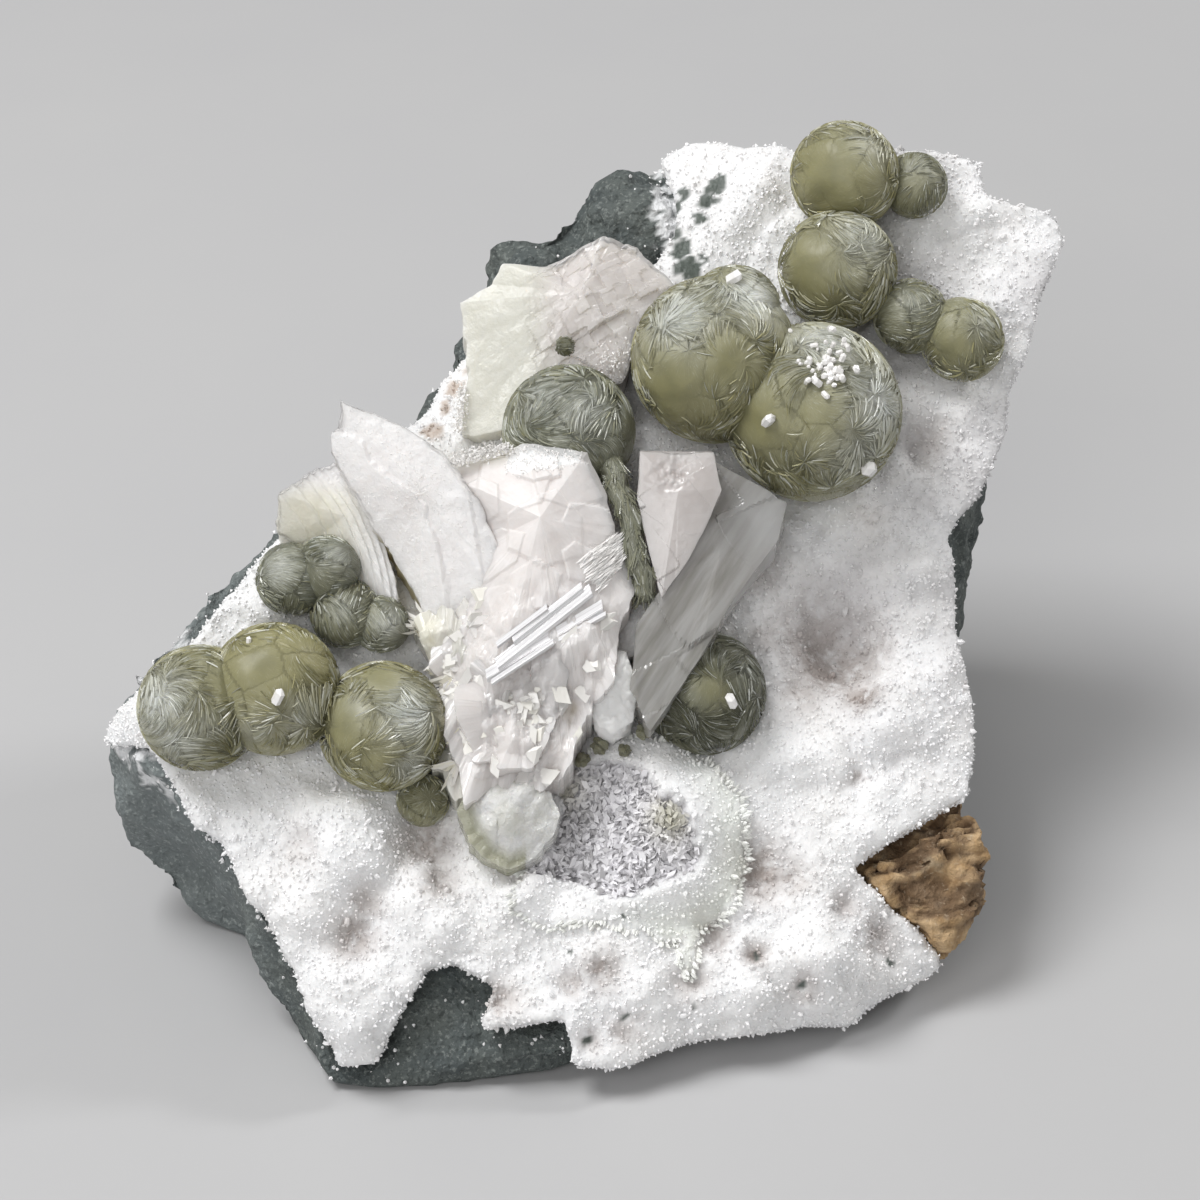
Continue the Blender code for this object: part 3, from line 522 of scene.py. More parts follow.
dress(basalt, stone.shade(
    stone.mix(stone.marked("film"), stone.mix(stone.marked("ochre"), grey, rust), (0.86, 0.87, 0.88)),
    stone.specks(1.5) * 0.3 + 0.62,
    stone.bump(stone_relief, 0.45)), "basalt", "basalt_matrix")

# %% [markdown]
# ## The quartz crust
#
# The crust is a druse: millions of quartz crystals too small to count, grown over rounded knobs, so
# from a step away it looks like frosted sugar. Its hollows are stained brownish grey, and the same
# brownish grey darkens the low ground between its knobs as painted shade. Its right part is greyed
# with painted shade. The body is a finer copy of its solid with knobs of two sizes raised on it. The
# crystals come after it.

# %% Crust shape
HOLLOWS = [
    (20.8, 40.3, 4.4, 1.0), (23.4, 35.4, 1.8, 1.0), (18.0, 35.7, 2.2, 0.6), (14.9, 46.1, 2.2, 0.4),
    (-15.4, 21.1, 2.4, 0.8), (-14.1, 17.6, 1.8, 0.6), (-21.5, 12.5, 1.8, 0.8), (-20.6, 15.2, 1.6, 0.6),
    (-8.8, 7.2, 1.6, 0.7), (0.0, 9.6, 1.6, 0.8), (-2.5, 8.6, 1.2, 0.6), (14.2, 19.3, 2.6, 0.9),
    (16.9, 18.6, 1.6, 0.7), (9.7, 13.8, 2.0, 0.7), (7.9, 9.3, 1.6, 0.6), (24.9, 14.2, 1.6, 0.6),
    (30.2, 59.4, 2.4, 0.5), (18.1, 8.9, 1.2, 0.6), (13.7, 11.7, 1.0, 0.9), (1.8, 4.8, 1.2, 0.5),
    (-0.9, 3.9, 1.0, 0.6), (-26.4, 19.9, 1.6, 0.4), (-7.1, 18.7, 1.6, 0.5), (21.8, 16.3, 1.4, 0.6),
    (15.3, 40.2, 1.8, 0.5), (25.3, 40.5, 1.8, 0.5), (24.6, 51.6, 1.8, 0.3), (13.0, 34.6, 1.4, 0.7),
]
BARE_SPOTS = [
    (10.9, 83.0, 1.1, 1.0), (10.2, 81.6, 1.0, 1.0), (9.1, 79.6, 0.8, 1.0), (8.2, 74.9, 1.2, 1.0), (7.6, 76.8, 1.0, 1.0),
    (6.7, 78.4, 1.0, 1.0), (6.4, 80.6, 0.9, 0.9), (7.4, 82.0, 0.7, 0.8), (9.6, 76.0, 0.7, 0.8), (13.8, 11.7, 0.45, 0.9),
    (1.7, 14.3, 0.4, 0.9), (17.9, 8.9, 0.45, 0.8), (-0.9, 3.9, 0.5, 0.8), (1.9, 5.5, 0.4, 0.8), (25.7, 12.0, 0.4, 0.8),
    (14.7, 25.6, 0.35, 0.7), (-2.6, 11.3, 0.4, 0.7), (8.2, 7.2, 0.4, 0.7),
]
RUST_SPOTS = [(-15.3, 58.5, 1.1, 1.0), (-14.1, 61.0, 1.0, 0.9), (-13.1, 62.9, 0.9, 0.9), (-12.2, 64.2, 0.7, 0.7)]
SCAR = np.array([
    (-3.9, 25.9), (-3.3, 27.5), (-0.6, 28.5), (1.9, 28.3), (4.2, 27.0), (5.2, 24.9), (7.3, 24.1),
    (8.2, 22.2), (9.0, 20.2), (8.2, 18.4), (5.5, 17.4), (3.5, 16.5), (1.8, 16.0), (0.0, 16.8),
    (-3.5, 17.9), (-6.2, 18.2), (-6.8, 18.8), (-4.6, 20.5), (-4.2, 21.6), (-3.3, 23.7),
])


RING = np.array([
    (-7.6, 14.9), (-4.4, 13.6), (0.0, 13.8), (4.4, 13.2), (6.9, 12.4), (7.4, 9.6), (8.3, 9.8), (8.8, 13.8),
    (12.0, 16.1), (12.9, 20.1), (12.2, 25.5), (8.4, 29.4), (3.6, 30.8), (-3.0, 28.5), (-5.0, 24.0),
])


def hollowed(places, rows):
    """How deep each u, v lies in the hollows, from 0 to 1: a soft bell over each row."""
    depth = np.zeros(len(places))
    for u, v, radius, strength in rows:
        away = np.hypot(places[:, 0] - u, places[:, 1] - v) / radius
        depth = np.maximum(depth, strength * np.exp(-0.9 * away**2))
    return depth


crust = finer_copy("quartz_crust", "quartz_crust_body", 0.41, 5)
sugar, sugar_out = points_of(crust)
sugar_face = to_face(sugar)
facing = smooth_step(-0.2, 0.5, sugar_out @ OUT)
wander = np.stack([cloud(sugar, 5.0, 41), cloud(sugar, 5.0, 42), cloud(sugar, 5.0, 43)], axis=-1)
swells = knobs(sugar + wander * 1.5, 6.5, 51)
small_knobs = knobs(sugar + wander, 2.4, 52)
cauliflower = knobs(sugar + wander, 4.2, 53) * smooth_step(30.0, 14.0, sugar_face[:, 1])
hollow = hollowed(sugar_face[:, :2], HOLLOWS)
ragged = cloud(sugar, 1.2, 44)[:, None] * 0.35
scar_depth = inside_outline(sugar_face[:, :2] + ragged, SCAR)
scar = smooth_step(-0.15, 0.25, scar_depth) * facing
ring_depth = inside_outline(sugar_face[:, :2] + ragged, RING)
ring = smooth_step(-0.25, 0.35, ring_depth) * facing
relief = facing * (0.75 * swells + 0.38 * small_knobs + 0.75 * cauliflower) + 0.12 * cloud(sugar, 1.2, 45)
relief -= facing * hollow * 1.0
relief = relief * (1 - 0.6 * ring) + ring * 0.6
relief = relief * (1 - scar) + scar * (0.20 * cloud(sugar, 1.0, 46) - 0.65)
sugar = sugar + sugar_out * (relief * smooth_step(0.2, 1.2, sugar[:, 2]) - 0.1)[:, None]
move_points(crust, sugar)
# Painted shade: the low ground between the knobs is darkened brownish grey, like the stained hollows.
painted_valley_shade = 0.6 * smooth_step(-0.2, -0.6, swells) + 0.3 * smooth_step(-0.15, -0.55, small_knobs + cauliflower * 0.8)
hollow_stain_and_shade = np.clip(hollow * 1.1 + painted_valley_shade * facing * (1 - ring), 0, 1)
mark(crust, "stain_and_painted_shade", hollow_stain_and_shade)
# Painted shade: the right part of the crust, towards the back, is greyed in broad patches.
painted_shade_right = smooth_step(10.0, 28.0, sugar_face[:, 0]) * smooth_step(24.0, 46.0, sugar_face[:, 1])
painted_shade_right = np.clip(painted_shade_right * (0.42 + 0.7 * cloud(sugar, 6.0, 49, 3)), 0, 0.8)
mark(crust, "painted_shade_right", painted_shade_right)
mark(crust, "scar", scar)
bare = hollowed(sugar_face[:, :2] + ragged * 1.6, BARE_SPOTS) + 0.25 * cloud(sugar, 0.9, 47)
bare = smooth_step(0.42, 0.58, bare) * facing
mark(crust, "bare", bare)
rusty = smooth_step(0.35, 0.75, hollowed(sugar_face[:, :2] + ragged * 2.0, RUST_SPOTS) + 0.2 * cloud(sugar, 0.7, 48))
mark(crust, "rust", rusty)

# %% Crust finish
def white_quartz(name, glint, soft):
    """White crystal, stained in its hollows, with painted shade between its knobs and over its right part. Glint is the
    roughness of its faces, soft how much light wanders in.
    """
    made = Finish(name)
    # Brownish grey from the stained hollows and from painted shade between the knobs.
    brown_stain_and_shade = made.marked("stain_and_painted_shade") * made.specks(1.3, 4.0).over(0.24, 0.52)
    white = made.mix(made.specks(6.0).over(0.4, 0.7) * 0.5, (0.93, 0.93, 0.94), (0.92, 0.90, 0.88))
    white = made.mix(brown_stain_and_shade * 0.9, white, (0.37, 0.31, 0.28))
    # Painted shade greys the right part of the crust.
    white = made.mix(made.marked("painted_shade_right"), white, (0.66, 0.65, 0.66))
    white = made.mix(made.marked("ring") * 0.4, white, (0.80, 0.85, 0.74))
    lilac = made.mix(made.specks(0.45, 3.0).over(0.42, 0.58), (0.36, 0.35, 0.36), (0.70, 0.685, 0.71))
    white = made.mix(made.marked("scar"), white, lilac)
    white = made.mix(made.marked("bare"), white, (0.11, 0.13, 0.115))
    white = made.mix(made.marked("rust") * 0.6, white, (0.36, 0.23, 0.13))
    return made.shade(
        white, made.specks(0.6, 2.0) * 0.3 + glint, made.bump(made.grains(0.45) + made.specks(0.3, 3.0), 0.08),
        Subsurface_Weight=soft, Subsurface_Radius=(1.0, 0.97, 0.95), Subsurface_Scale=2 * MM, IOR=1.54)


def ring_tint(face, depth):
    """How green the raised ring is at each u, v: strongest at its right and low edges."""
    band = smooth_step(-0.2, 0.6, depth) * smooth_step(5.0, 0.6, depth)
    return band * smooth_step(-2.0, 7.0, face[:, 0] - 0.4 * (face[:, 1] - 14.0))


green_tint = ring_tint(sugar_face, ring_depth)
mark(crust, "ring", green_tint)
dress(crust, white_quartz("quartz_crust_white", 0.35, 0.6), "quartz", "quartz_crust")

# %% [markdown]
# ## The quartz crystals
#
# One quartz crystal is a six-sided prism with a six-sided point. Each of the thousands here is the
# same small net of faces, set down on a random spot of the crust, stretched to its own size and
# leaning its own way. All of them are worked out at once as one array, and they are split over a few
# pieces so that none grows too heavy.

# %% One quartz crystal
def prism_with_point(point_share):
    """Six corners below, six where the point starts, and the tip, one high and one across."""
    turns = np.arange(6) * math.pi / 3
    ring = np.column_stack([np.cos(turns), np.sin(turns)]) / 2
    low = np.column_stack([ring, np.full(6, -0.35)])
    high = np.column_stack([ring, np.full(6, 1 - point_share)])
    points = np.vstack([low, high, (0.05, 0.03, 1.0)])
    k = np.arange(6)
    following = (k + 1) % 6
    sides = np.concatenate([
        np.column_stack([k, following, following + 6]), np.column_stack([k, following + 6, k + 6]),
        np.column_stack([k + 6, following + 6, np.full(6, 12)]), [(0, 2, 1), (0, 3, 2), (0, 4, 3), (0, 5, 4)],
    ])
    return points, sides


def stub_with_point():
    """A point alone, for the finest crystals: six corners and the tip."""
    turns = np.arange(6) * math.pi / 3
    points = np.vstack([np.column_stack([np.cos(turns) / 2, np.sin(turns) / 2, np.full(6, -0.2)]), (0.08, 0.0, 1.0)])
    k = np.arange(6)
    sides = np.column_stack([k, (k + 1) % 6, np.full(6, 6)])
    return points, np.vstack([sides, [(0, 2, 1), (0, 3, 2), (0, 4, 3), (0, 5, 4)]])


def grown_crystals(name, shape, chosen, widths, lengths, lean, seed):
    """Crystals standing on chosen points of the crust."""
    rng = np.random.RandomState(seed)
    ways = crust_out[chosen]
    axes = axes_along(ways, rng, lean)
    places = crust_points[chosen] + rng.uniform(-0.18, 0.18, (len(chosen), 3)) - ways * 0.06
    sizes = np.column_stack([widths, widths, lengths])
    points, triangles = copies(shape, places, axes, sizes)
    made = surface(name, points, triangles, smooth=False)
    each = len(shape[0])
    for tag, values in crust_marks.items():
        mark(made, tag, np.repeat(values[chosen], each))
    return made


crust_points, crust_out = points_of(crust)
crust_marks = {"stain_and_painted_shade": hollow_stain_and_shade, "painted_shade_right": painted_shade_right, "scar": scar, "ring": green_tint, "rust": rusty}
shown = (crust_out @ OUT > -0.35) & (crust_points[:, 2] > 0.9)
candidates = np.flatnonzero(shown & (scar < 0.5) & (bare < 0.4))
print(len(candidates), "spots for crystals")

# %% Crystals over the crust
chance = np.random.RandomState(5)
order = chance.permutation(candidates)
soft_quartz = white_quartz("quartz_points_soft", 0.35, 0.0)
glinting_quartz = white_quartz("quartz_points_glinting", 0.0, 0.0)
taken = 0
for number, (count, finish, wide_range, long_range) in enumerate([
        (16000, soft_quartz, (0.21, 0.42), (0.3, 0.7)), (16000, soft_quartz, (0.21, 0.42), (0.3, 0.7)),
        (6000, glinting_quartz, (0.20, 0.36), (0.5, 0.9))]):
    some = order[taken:taken + count]
    taken += count
    wide = chance.uniform(*wide_range, len(some))
    piece = grown_crystals(f"quartz_points_{number + 1}", stub_with_point(), some, wide,
                           wide * chance.uniform(*long_range, len(some)), 0.35, 60 + number)
    dress(piece, finish, "quartz")
some = order[taken:taken + 900]
wide = chance.uniform(0.3, 0.5, len(some)) * (1 + 0.3 * hollow_stain_and_shade[some])
piece = grown_crystals("quartz_prisms", prism_with_point(0.5), some, wide,
                       wide * chance.uniform(0.9, 1.5, len(some)), 0.5, 70)
dress(piece, glinting_quartz, "quartz")

# %% [markdown]
# The crust doesn't stop at a clean line. Its last crystals stand scattered on the bare rock, thinning
# out within a millimetre or two. `close_to` finds the points of the rock that have a point of the
# crust in one of the cubes around them.

# %% Crystals on the rock at the crust's border
def close_to(points, others, reach):
    """Whether each point shares a cube of this size, or a neighbouring cube, with one of the others."""
    spans = np.array([1_000_000, 1000, 1])
    taken = np.unique(np.floor(others / reach).astype(np.int64), axis=0)
    around = taken[:, None, :] + np.array(list(np.ndindex(3, 3, 3))) - 1
    return np.isin(np.floor(points / reach).astype(np.int64) @ spans, np.unique(around.reshape(-1, 3) @ spans))


rock_points, rock_ways = points_of(basalt)
rock_spots = np.concatenate([
    chance.permutation(np.flatnonzero(close_to(rock_points, crust_points, reach) & (rock_points[:, 2] > 0.8)
                                      & (ochre < most)))[:count]
    for reach, count, most in ((0.6, 2400, 0.6), (1.0, 1300, 0.4), (1.8, 600, 0.1))])
wide = chance.uniform(0.2, 0.42, len(rock_spots))
places = rock_points[rock_spots] + chance.uniform(-0.2, 0.2, (len(rock_spots), 3))
fringe_points, fringe_triangles = copies(
    stub_with_point(), places, axes_along(rock_ways[rock_spots], chance, 0.5),
    np.column_stack([wide, wide, wide * chance.uniform(0.5, 1.0, len(rock_spots))]))
dress(surface("quartz_fringe", fringe_points, fringe_triangles, smooth=False), soft_quartz, "quartz")

# %% [markdown]
# The raised ring ends in a row of prisms that lean outwards like teeth. They are the same prism,
# placed where the crust crosses the ring's outline and turned along the way out of it.

# %% Teeth of the ring
at_edge = np.flatnonzero((np.abs(ring_depth + 0.1) < 0.22) & (facing > 0.5) & (scar < 0.2)
                         & (crust_points[:, 2] > 1.5))
some = chance.permutation(at_edge)[:900]
away = to_face(crust_points[some])[:, :2] - (2.0, 21.5)
away /= np.linalg.norm(away, axis=1)[:, None]
out_ways = away[:, :1] * RIGHT + away[:, 1:] * UP_SLOPE + OUT * 0.8
out_ways /= np.linalg.norm(out_ways, axis=1)[:, None]
wide = chance.uniform(0.26, 0.44, len(some))
teeth_points, teeth_triangles = copies(
    prism_with_point(0.35), crust_points[some] - out_ways * 0.25, axes_along(out_ways, chance, 0.16),
    np.column_stack([wide, wide, wide * chance.uniform(2.0, 3.2, len(some))]))
teeth = surface("quartz_ring_teeth", teeth_points, teeth_triangles, smooth=False)
for tag, value in (("stain_and_painted_shade", 0.15), ("scar", 0.0), ("ring", 0.7)):
    mark(teeth, tag, np.full(len(teeth_points), value))
dress(teeth, glinting_quartz, "quartz")

# %% [markdown]
# ## The grey scar
#
# Inside the ring the druse has broken off. What is left is a coarse sand of lilac-grey flakes that
# glitter. Each flake is a thin skewed box lying at its own angle.

# %% Flakes in the scar
def rhomb():
    """A skewed box: eight corners, each a sum of three leaning edges."""
    edges = np.array([(1.0, 0.0, 0.0), (0.35, 0.94, 0.0), (0.25, 0.2, 0.9)])
    corners = np.array(list(np.ndindex(2, 2, 2)), float) - 0.5
    faces = np.array([(0, 1, 3), (0, 3, 2), (4, 6, 7), (4, 7, 5), (0, 4, 5), (0, 5, 1),
                      (2, 3, 7), (2, 7, 6), (0, 2, 6), (0, 6, 4), (1, 5, 7), (1, 7, 3)])
    return corners @ edges, faces


flake_finish = Finish("quartz_scar_flakes")
flake_shade = flake_finish.marked("each")
flake_colour = flake_finish.mix(flake_shade.over(0.0, 0.5), (0.48, 0.47, 0.48), (0.86, 0.85, 0.875))
flake_colour = flake_finish.mix(flake_finish.marked("olive") * 0.6, flake_colour, (0.42, 0.40, 0.24))
flake_finish.shade(flake_colour, 0.32 - flake_shade * 0.2, flake_finish.bump(flake_finish.specks(0.2), 0.03))
spots = chance.permutation(np.flatnonzero(scar > 0.35))
spots = spots[:2600]
axes = axes_along(crust_out[spots], chance, 0.75)
flake_sizes = np.column_stack([chance.uniform(0.3, 0.85, len(spots)), chance.uniform(0.3, 0.6, len(spots)),
                               chance.uniform(0.06, 0.16, len(spots))])
flake_places = crust_points[spots] + chance.uniform(-0.2, 0.2, (len(spots), 3)) + crust_out[spots] * 0.08
flakes = surface("quartz_scar_flakes", *copies(rhomb(), flake_places, axes, flake_sizes), smooth=False)
mark(flakes, "each", np.repeat(chance.uniform(0, 1, len(spots)), 8))
flake_face = to_face(flake_places)
olive_part = np.exp(-((flake_face[:, 0] - 6.2) ** 2 / 3.0 + (flake_face[:, 1] - 23.0) ** 2 / 3.5))
olive_part = np.maximum(olive_part, 0.8 * np.exp(-((flake_face[:, 0] + 3.2) ** 2 + (flake_face[:, 1] - 26.0) ** 2) / 3.0))
mark(flakes, "olive", np.repeat(olive_part, 8))
dress(flakes, flake_finish, "quartz")

# %% One lath
def lath():
    """A long bar, one high, one wide and one long, with six sides and slanted ends."""
    around = np.array([(-0.5, -0.2), (-0.36, 0.5), (0.36, 0.5), (0.5, -0.2), (0.3, -0.5), (-0.3, -0.5)])
    slant = 0.04 * around[:, 0]
    points = np.vstack([np.column_stack([slant - 0.5, around]), np.column_stack([slant + 0.5, around])])
    k = np.arange(6)
    following = (k + 1) % 6
    faces = np.concatenate([np.column_stack([k, k + 6, following + 6]), np.column_stack([k, following + 6, following]),
                            [(0, 1, 2), (0, 2, 3), (0, 3, 4), (0, 4, 5), (6, 8, 7), (6, 9, 8), (6, 10, 9), (6, 11, 10)]])
    corners = points[faces]
    volume = np.einsum("ij,ij->", corners[:, 0], np.cross(corners[:, 1], corners[:, 2]))
    return points, faces if volume > 0 else faces[:, ::-1]


# %% [markdown]
# ## The gyrolite balls
#
# Gyrolite grows as thin leaves that spread from a point like the pages of an open book. A ball is
# made of dozens of such books, each spreading its own way, so its skin shows short bright arcs in a
# herringbone. `fans` splits the skin of a ball into patches. In each patch the leaves spread from a
# point near its edge. It gives every spot two numbers: how many leaves it lies across, and how far
# along them. The material draws the fine leaves from these, and the larger leaves are real ones.

# %% Fans on a ball
class Fans:
    """The patches of leaves on one ball: their middles, the points they spread from and their swirl."""

    LEAVES_PER_TURN = 12.0

    def __init__(self, radius, seed, patch_area=15.0):
        rng = np.random.RandomState(seed)
        self.radius = radius
        count = max(6, int(4 * math.pi * radius**2 / patch_area))
        k = np.arange(count) + 0.5
        high = 1 - 2 * k / count
        turn = k * math.pi * (1 + 5**0.5)
        level = np.sqrt(1 - high**2)
        self.middles = np.stack([level * np.cos(turn), level * np.sin(turn), high], -1)
        self.middles += rng.normal(size=(count, 3)) * 0.35 * math.sqrt(patch_area) / radius
        self.middles /= np.linalg.norm(self.middles, axis=1)[:, None]
        reach = 0.5 * math.sqrt(patch_area) / radius
        aside = np.cross(self.middles, rng.normal(size=(count, 3)))
        aside /= np.linalg.norm(aside, axis=1)[:, None]
        self.starts = self.middles - aside * reach * rng.uniform(0.8, 1.3, (count, 1))
        self.starts /= np.linalg.norm(self.starts, axis=1)[:, None]
        self.ahead = self.middles - np.sum(self.middles * self.starts, axis=1)[:, None] * self.starts
        self.ahead /= np.linalg.norm(self.ahead, axis=1)[:, None]
        self.sideways = np.cross(self.starts, self.ahead)
        self.swirl = rng.uniform(-2.6, 2.6, count)
        self.bright = rng.uniform(0, 1, count)

    def at(self, ways):
        """For each way from the middle: its patch, the border's nearness, the turn and the distance from the start."""
        likeness = ways @ self.middles.T
        patch = np.argmax(likeness, axis=1)
        best = likeness[np.arange(len(ways)), patch]
        likeness[np.arange(len(ways)), patch] = -1
        gap = (np.arccos(np.clip(likeness.max(axis=1), -1, 1)) - np.arccos(np.clip(best, -1, 1))) * self.radius
        start = self.starts[patch]
        turn = np.arctan2(np.sum(ways * self.sideways[patch], axis=1), np.sum(ways * self.ahead[patch], axis=1))
        away = np.arccos(np.clip(np.sum(ways * start, axis=1), -1, 1)) * self.radius
        return patch, gap, turn, away

    def across(self, patch, turn, away):
        """The number of the leaf: turns times leaves, and the swirl bends it with the distance."""
        return turn * self.LEAVES_PER_TURN + self.swirl[patch] * away + patch * 37.0

    def place(self, patch, turn, away):
        """Back to a way from the middle: away along the skin from the start, turned from straight ahead."""
        angle = (away / self.radius)[..., None]
        level = np.cos(turn)[..., None] * self.ahead[patch] + np.sin(turn)[..., None] * self.sideways[patch]
        return np.cos(angle) * self.starts[patch] + np.sin(angle) * level


# %% [markdown]
# Each ball is a globe of rings from pole to pole. Its spots are given as the viewer sees them: right
# and up as shares of the radius, then the size and the strength. Silky spots are silvery, partly as a
# painted sheen; plain spots are smooth and waxy, without leaves.

# %% Balls of gyrolite
BALLS = {
    "left_cluster": [
        ((-35.1, 31.5, 13.0, 5.6), 0.35, [(-0.6, 0.1, 0.55, 1.0), (-0.3, -0.5, 0.45, 0.8), (0.2, -0.3, 0.3, 0.5)],
         [(0.5, 0.5, 0.35, 0.8)]),
        ((-28.6, 33.2, 13.2, 5.9), 0.15, [(0.5, -0.4, 0.4, 0.5), (-0.2, -0.6, 0.3, 0.4)], [(-0.2, 0.35, 0.6, 0.9)]),
        ((-19.1, 30.2, 11.8, 5.8), 0.2, [(0.45, 0.25, 0.5, 1.0), (-0.4, 0.3, 0.3, 0.7), (0.5, -0.6, 0.3, 0.8)],
         [(-0.55, 0.1, 0.5, 0.9), (0.0, 0.75, 0.35, 0.9), (-0.1, -0.5, 0.4, 0.6)]),
        ((-15.6, 24.4, 8.6, 2.4), 0.5, [], []),
    ],
    "upper_left_cluster": [
        ((-27.3, 43.4, 13.4, 3.3), 0.85, [(-0.3, 0.3, 0.5, 0.5)], []),
        ((-24.2, 44.2, 13.8, 3.1), 0.9, [(0.3, 0.4, 0.4, 0.4)], []),
        ((-22.6, 40.6, 12.4, 3.2), 0.8, [(0.0, 0.2, 0.5, 0.4)], []),
        ((-19.4, 39.6, 12.2, 2.6), 0.8, [(0.3, 0.0, 0.6, 0.6)], []),
    ],
    "centre_pair": [
        ((10.3, 63.7, 15.5, 7.6), 0.3, [(-0.45, 0.5, 0.45, 1.0), (0.35, 0.8, 0.5, 1.0), (0.0, 0.5, 0.3, 0.5)],
         [(-0.5, -0.4, 0.5, 1.0), (0.1, -0.1, 0.35, 0.9)]),
        ((12.1, 67.5, 17.4, 4.3), 0.4, [(0.35, 0.25, 0.7, 1.0), (-0.5, -0.1, 0.5, 0.9)], [(-0.1, 0.8, 0.3, 0.6)]),
        ((19.1, 59.2, 14.1, 8.1), 0.35, [(0.75, 0.1, 0.5, 1.0), (0.15, 0.75, 0.45, 0.9), (0.5, -0.5, 0.4, 0.6)],
         [(-0.65, -0.15, 0.5, 1.0), (0.0, -0.1, 0.35, 0.7)]),
    ],
    "middle_ball": [
        ((-2.8, 56.7, 15.6, 6.0), 0.8, [(0.2, 0.3, 0.45, 0.6), (-0.4, 0.5, 0.35, 0.6)], []),
    ],
    "tiny_ball": [
        ((-3.1, 64.0, 17.8, 1.0), 0.7, [], []),
    ],
    "lower_right_ball": [
        ((9.3, 34.7, 7.6, 5.6), 0.9, [(0.75, 0.3, 0.45, 0.4)], [(0.1, 0.1, 0.4, 0.7)]),
    ],
    "back_cluster": [
        ((22.5, 82.6, 14.3, 5.1), 0.2, [(0.4, 0.5, 0.5, 0.5)], [(-0.35, -0.1, 0.9, 1.0)]),
        ((29.0, 82.4, 12.7, 3.1), 0.6, [(0.2, 0.3, 0.6, 0.4)], [(0.0, 0.0, 0.6, 0.6)]),
        ((21.7, 73.5, 13.4, 5.5), 0.3, [(0.4, 0.5, 0.6, 0.7)], [(-0.55, 0.0, 0.65, 1.0)]),
        ((28.4, 69.7, 11.6, 3.5), 0.6, [(0.0, 0.3, 0.5, 0.4)], []),
        ((33.1, 67.7, 10.8, 3.9), 0.4, [(0.4, 0.3, 0.5, 0.4)], [(-0.3, -0.2, 0.6, 0.9)]),
    ],
}
# Painted shade for whole clusters: the lower right ball lies in the shadow of the grey blade, and the tiny ball is
# darkened a little.
PAINTED_SHADE_BY_CLUSTER = {"lower_right_ball": 0.6, "tiny_ball": 0.3}
SKIN_STEP = 0.2


def spotted(ways, spots):
    """How strongly each way lies in the spots, from 0 to 1."""
    strength = np.zeros(len(ways))
    for right, up, size, full in spots:
        away = np.linalg.norm(ways - seen_from_front(right, -up), axis=1) / size
        strength = np.maximum(strength, full * np.exp(-away**2))
    return strength


def globe(radius):
    """Ways from the middle of a ball: rings round the axis that climbs the slope, and the two poles."""
    levels = max(12, int(math.pi * radius / SKIN_STEP))
    lat = (np.arange(levels) + 0.5) / levels * math.pi
    lon = np.arange(int(levels * 1.7)) / int(levels * 1.7) * 2 * math.pi
    a, b = np.meshgrid(lat, lon, indexing="ij")
    rings = (np.sin(a) * np.cos(b))[..., None] * RIGHT + (np.sin(a) * np.sin(b))[..., None] * OUT
    return rings + np.cos(a)[..., None] * UP_SLOPE


class Leaves:
    """The larger leaves of one ball: each a low ridge that follows its fan and rises towards its end."""

    def __init__(self, ball, fans, neighbours, seed, per_area=6.0):
        (u, v, w, radius), tone, silvery_and_sheen, plain = ball
        rng = np.random.RandomState(seed)
        middle = to_room([u, v, w])
        ways = rng.normal(size=(int(4 * math.pi * radius**2 * per_area), 3))
        ways /= np.linalg.norm(ways, axis=1)[:, None]
        patch, _, turn, away = fans.at(ways)
        kept = (ways @ OUT > -0.45) & (away > 0.35) & (spotted(ways, plain) < rng.uniform(0.05, 0.6, len(ways)))
        for other_middle, other_radius in neighbours:
            kept &= np.linalg.norm(middle + ways * radius - other_middle, axis=1) > other_radius - 0.05
        ways, patch, turn, away = ways[kept], patch[kept], turn[kept], away[kept]
        count = len(ways)
        station = np.linspace(-0.5, 0.5, 4)
        long = rng.uniform(0.5, 1.7, count) * min(1, 0.2 + radius / 7)
        aways = away[:, None] + long[:, None] * station
        turns = turn[:, None] - fans.swirl[patch][:, None] * (aways - away[:, None]) / fans.LEAVES_PER_TURN
        spread = np.repeat(patch[:, None], 4, axis=1)
        path = fans.place(spread, turns, np.maximum(aways, 0.1))
        beside = fans.place(spread, turns + 0.02, np.maximum(aways, 0.1)) - path
        beside /= np.linalg.norm(beside, axis=2)[..., None]
        wide = (rng.uniform(0.025, 0.055, count)[:, None] * (1 - 1.5 * station**2))[..., None]
        rise = (rng.uniform(0.02, 0.07, count)[:, None] * (0.75 + 0.5 * station - 2.2 * station**2))[..., None]
        lean = rng.uniform(-1.2, 1.2, (count, 1, 1))
        low = path * (radius - 0.12)
        sections = np.stack([low - beside * wide, low + beside * wide,
                             path * (radius - 0.05 + rise) + beside * wide * lean], axis=2)
        self.points = (sections + middle).reshape(-1, 3)
        strip = []
        for level in range(3):
            for k in range(3):
                a, b = level * 3 + k, level * 3 + (k + 1) % 3
                strip += [(a, b, b + 3), (a, b + 3, a + 3)]
        strip = np.array(strip + [(2, 1, 0), (9, 10, 11)])
        corners = self.points[:12][strip] if count else np.zeros((1, 3, 3))
        if np.einsum("ij,ij->", corners[:, 0] - middle, np.cross(corners[:, 1] - middle, corners[:, 2] - middle)) < 0:
            strip = strip[:, ::-1]
        self.triangles = (strip + (np.arange(count) * 12)[:, None, None]).reshape(-1, 3)
        self.tone = np.repeat(np.clip(tone + rng.normal(size=count) * 0.18, 0, 1), 12)
        # Silver spots on the leaves, partly a painted sheen.
        self.silvery_and_sheen = np.repeat(np.clip(spotted(ways, silvery_and_sheen) + rng.uniform(-0.15, 0.15, count), 0, 1), 12)
        self.each = np.repeat(rng.uniform(0, 1, count), 12)


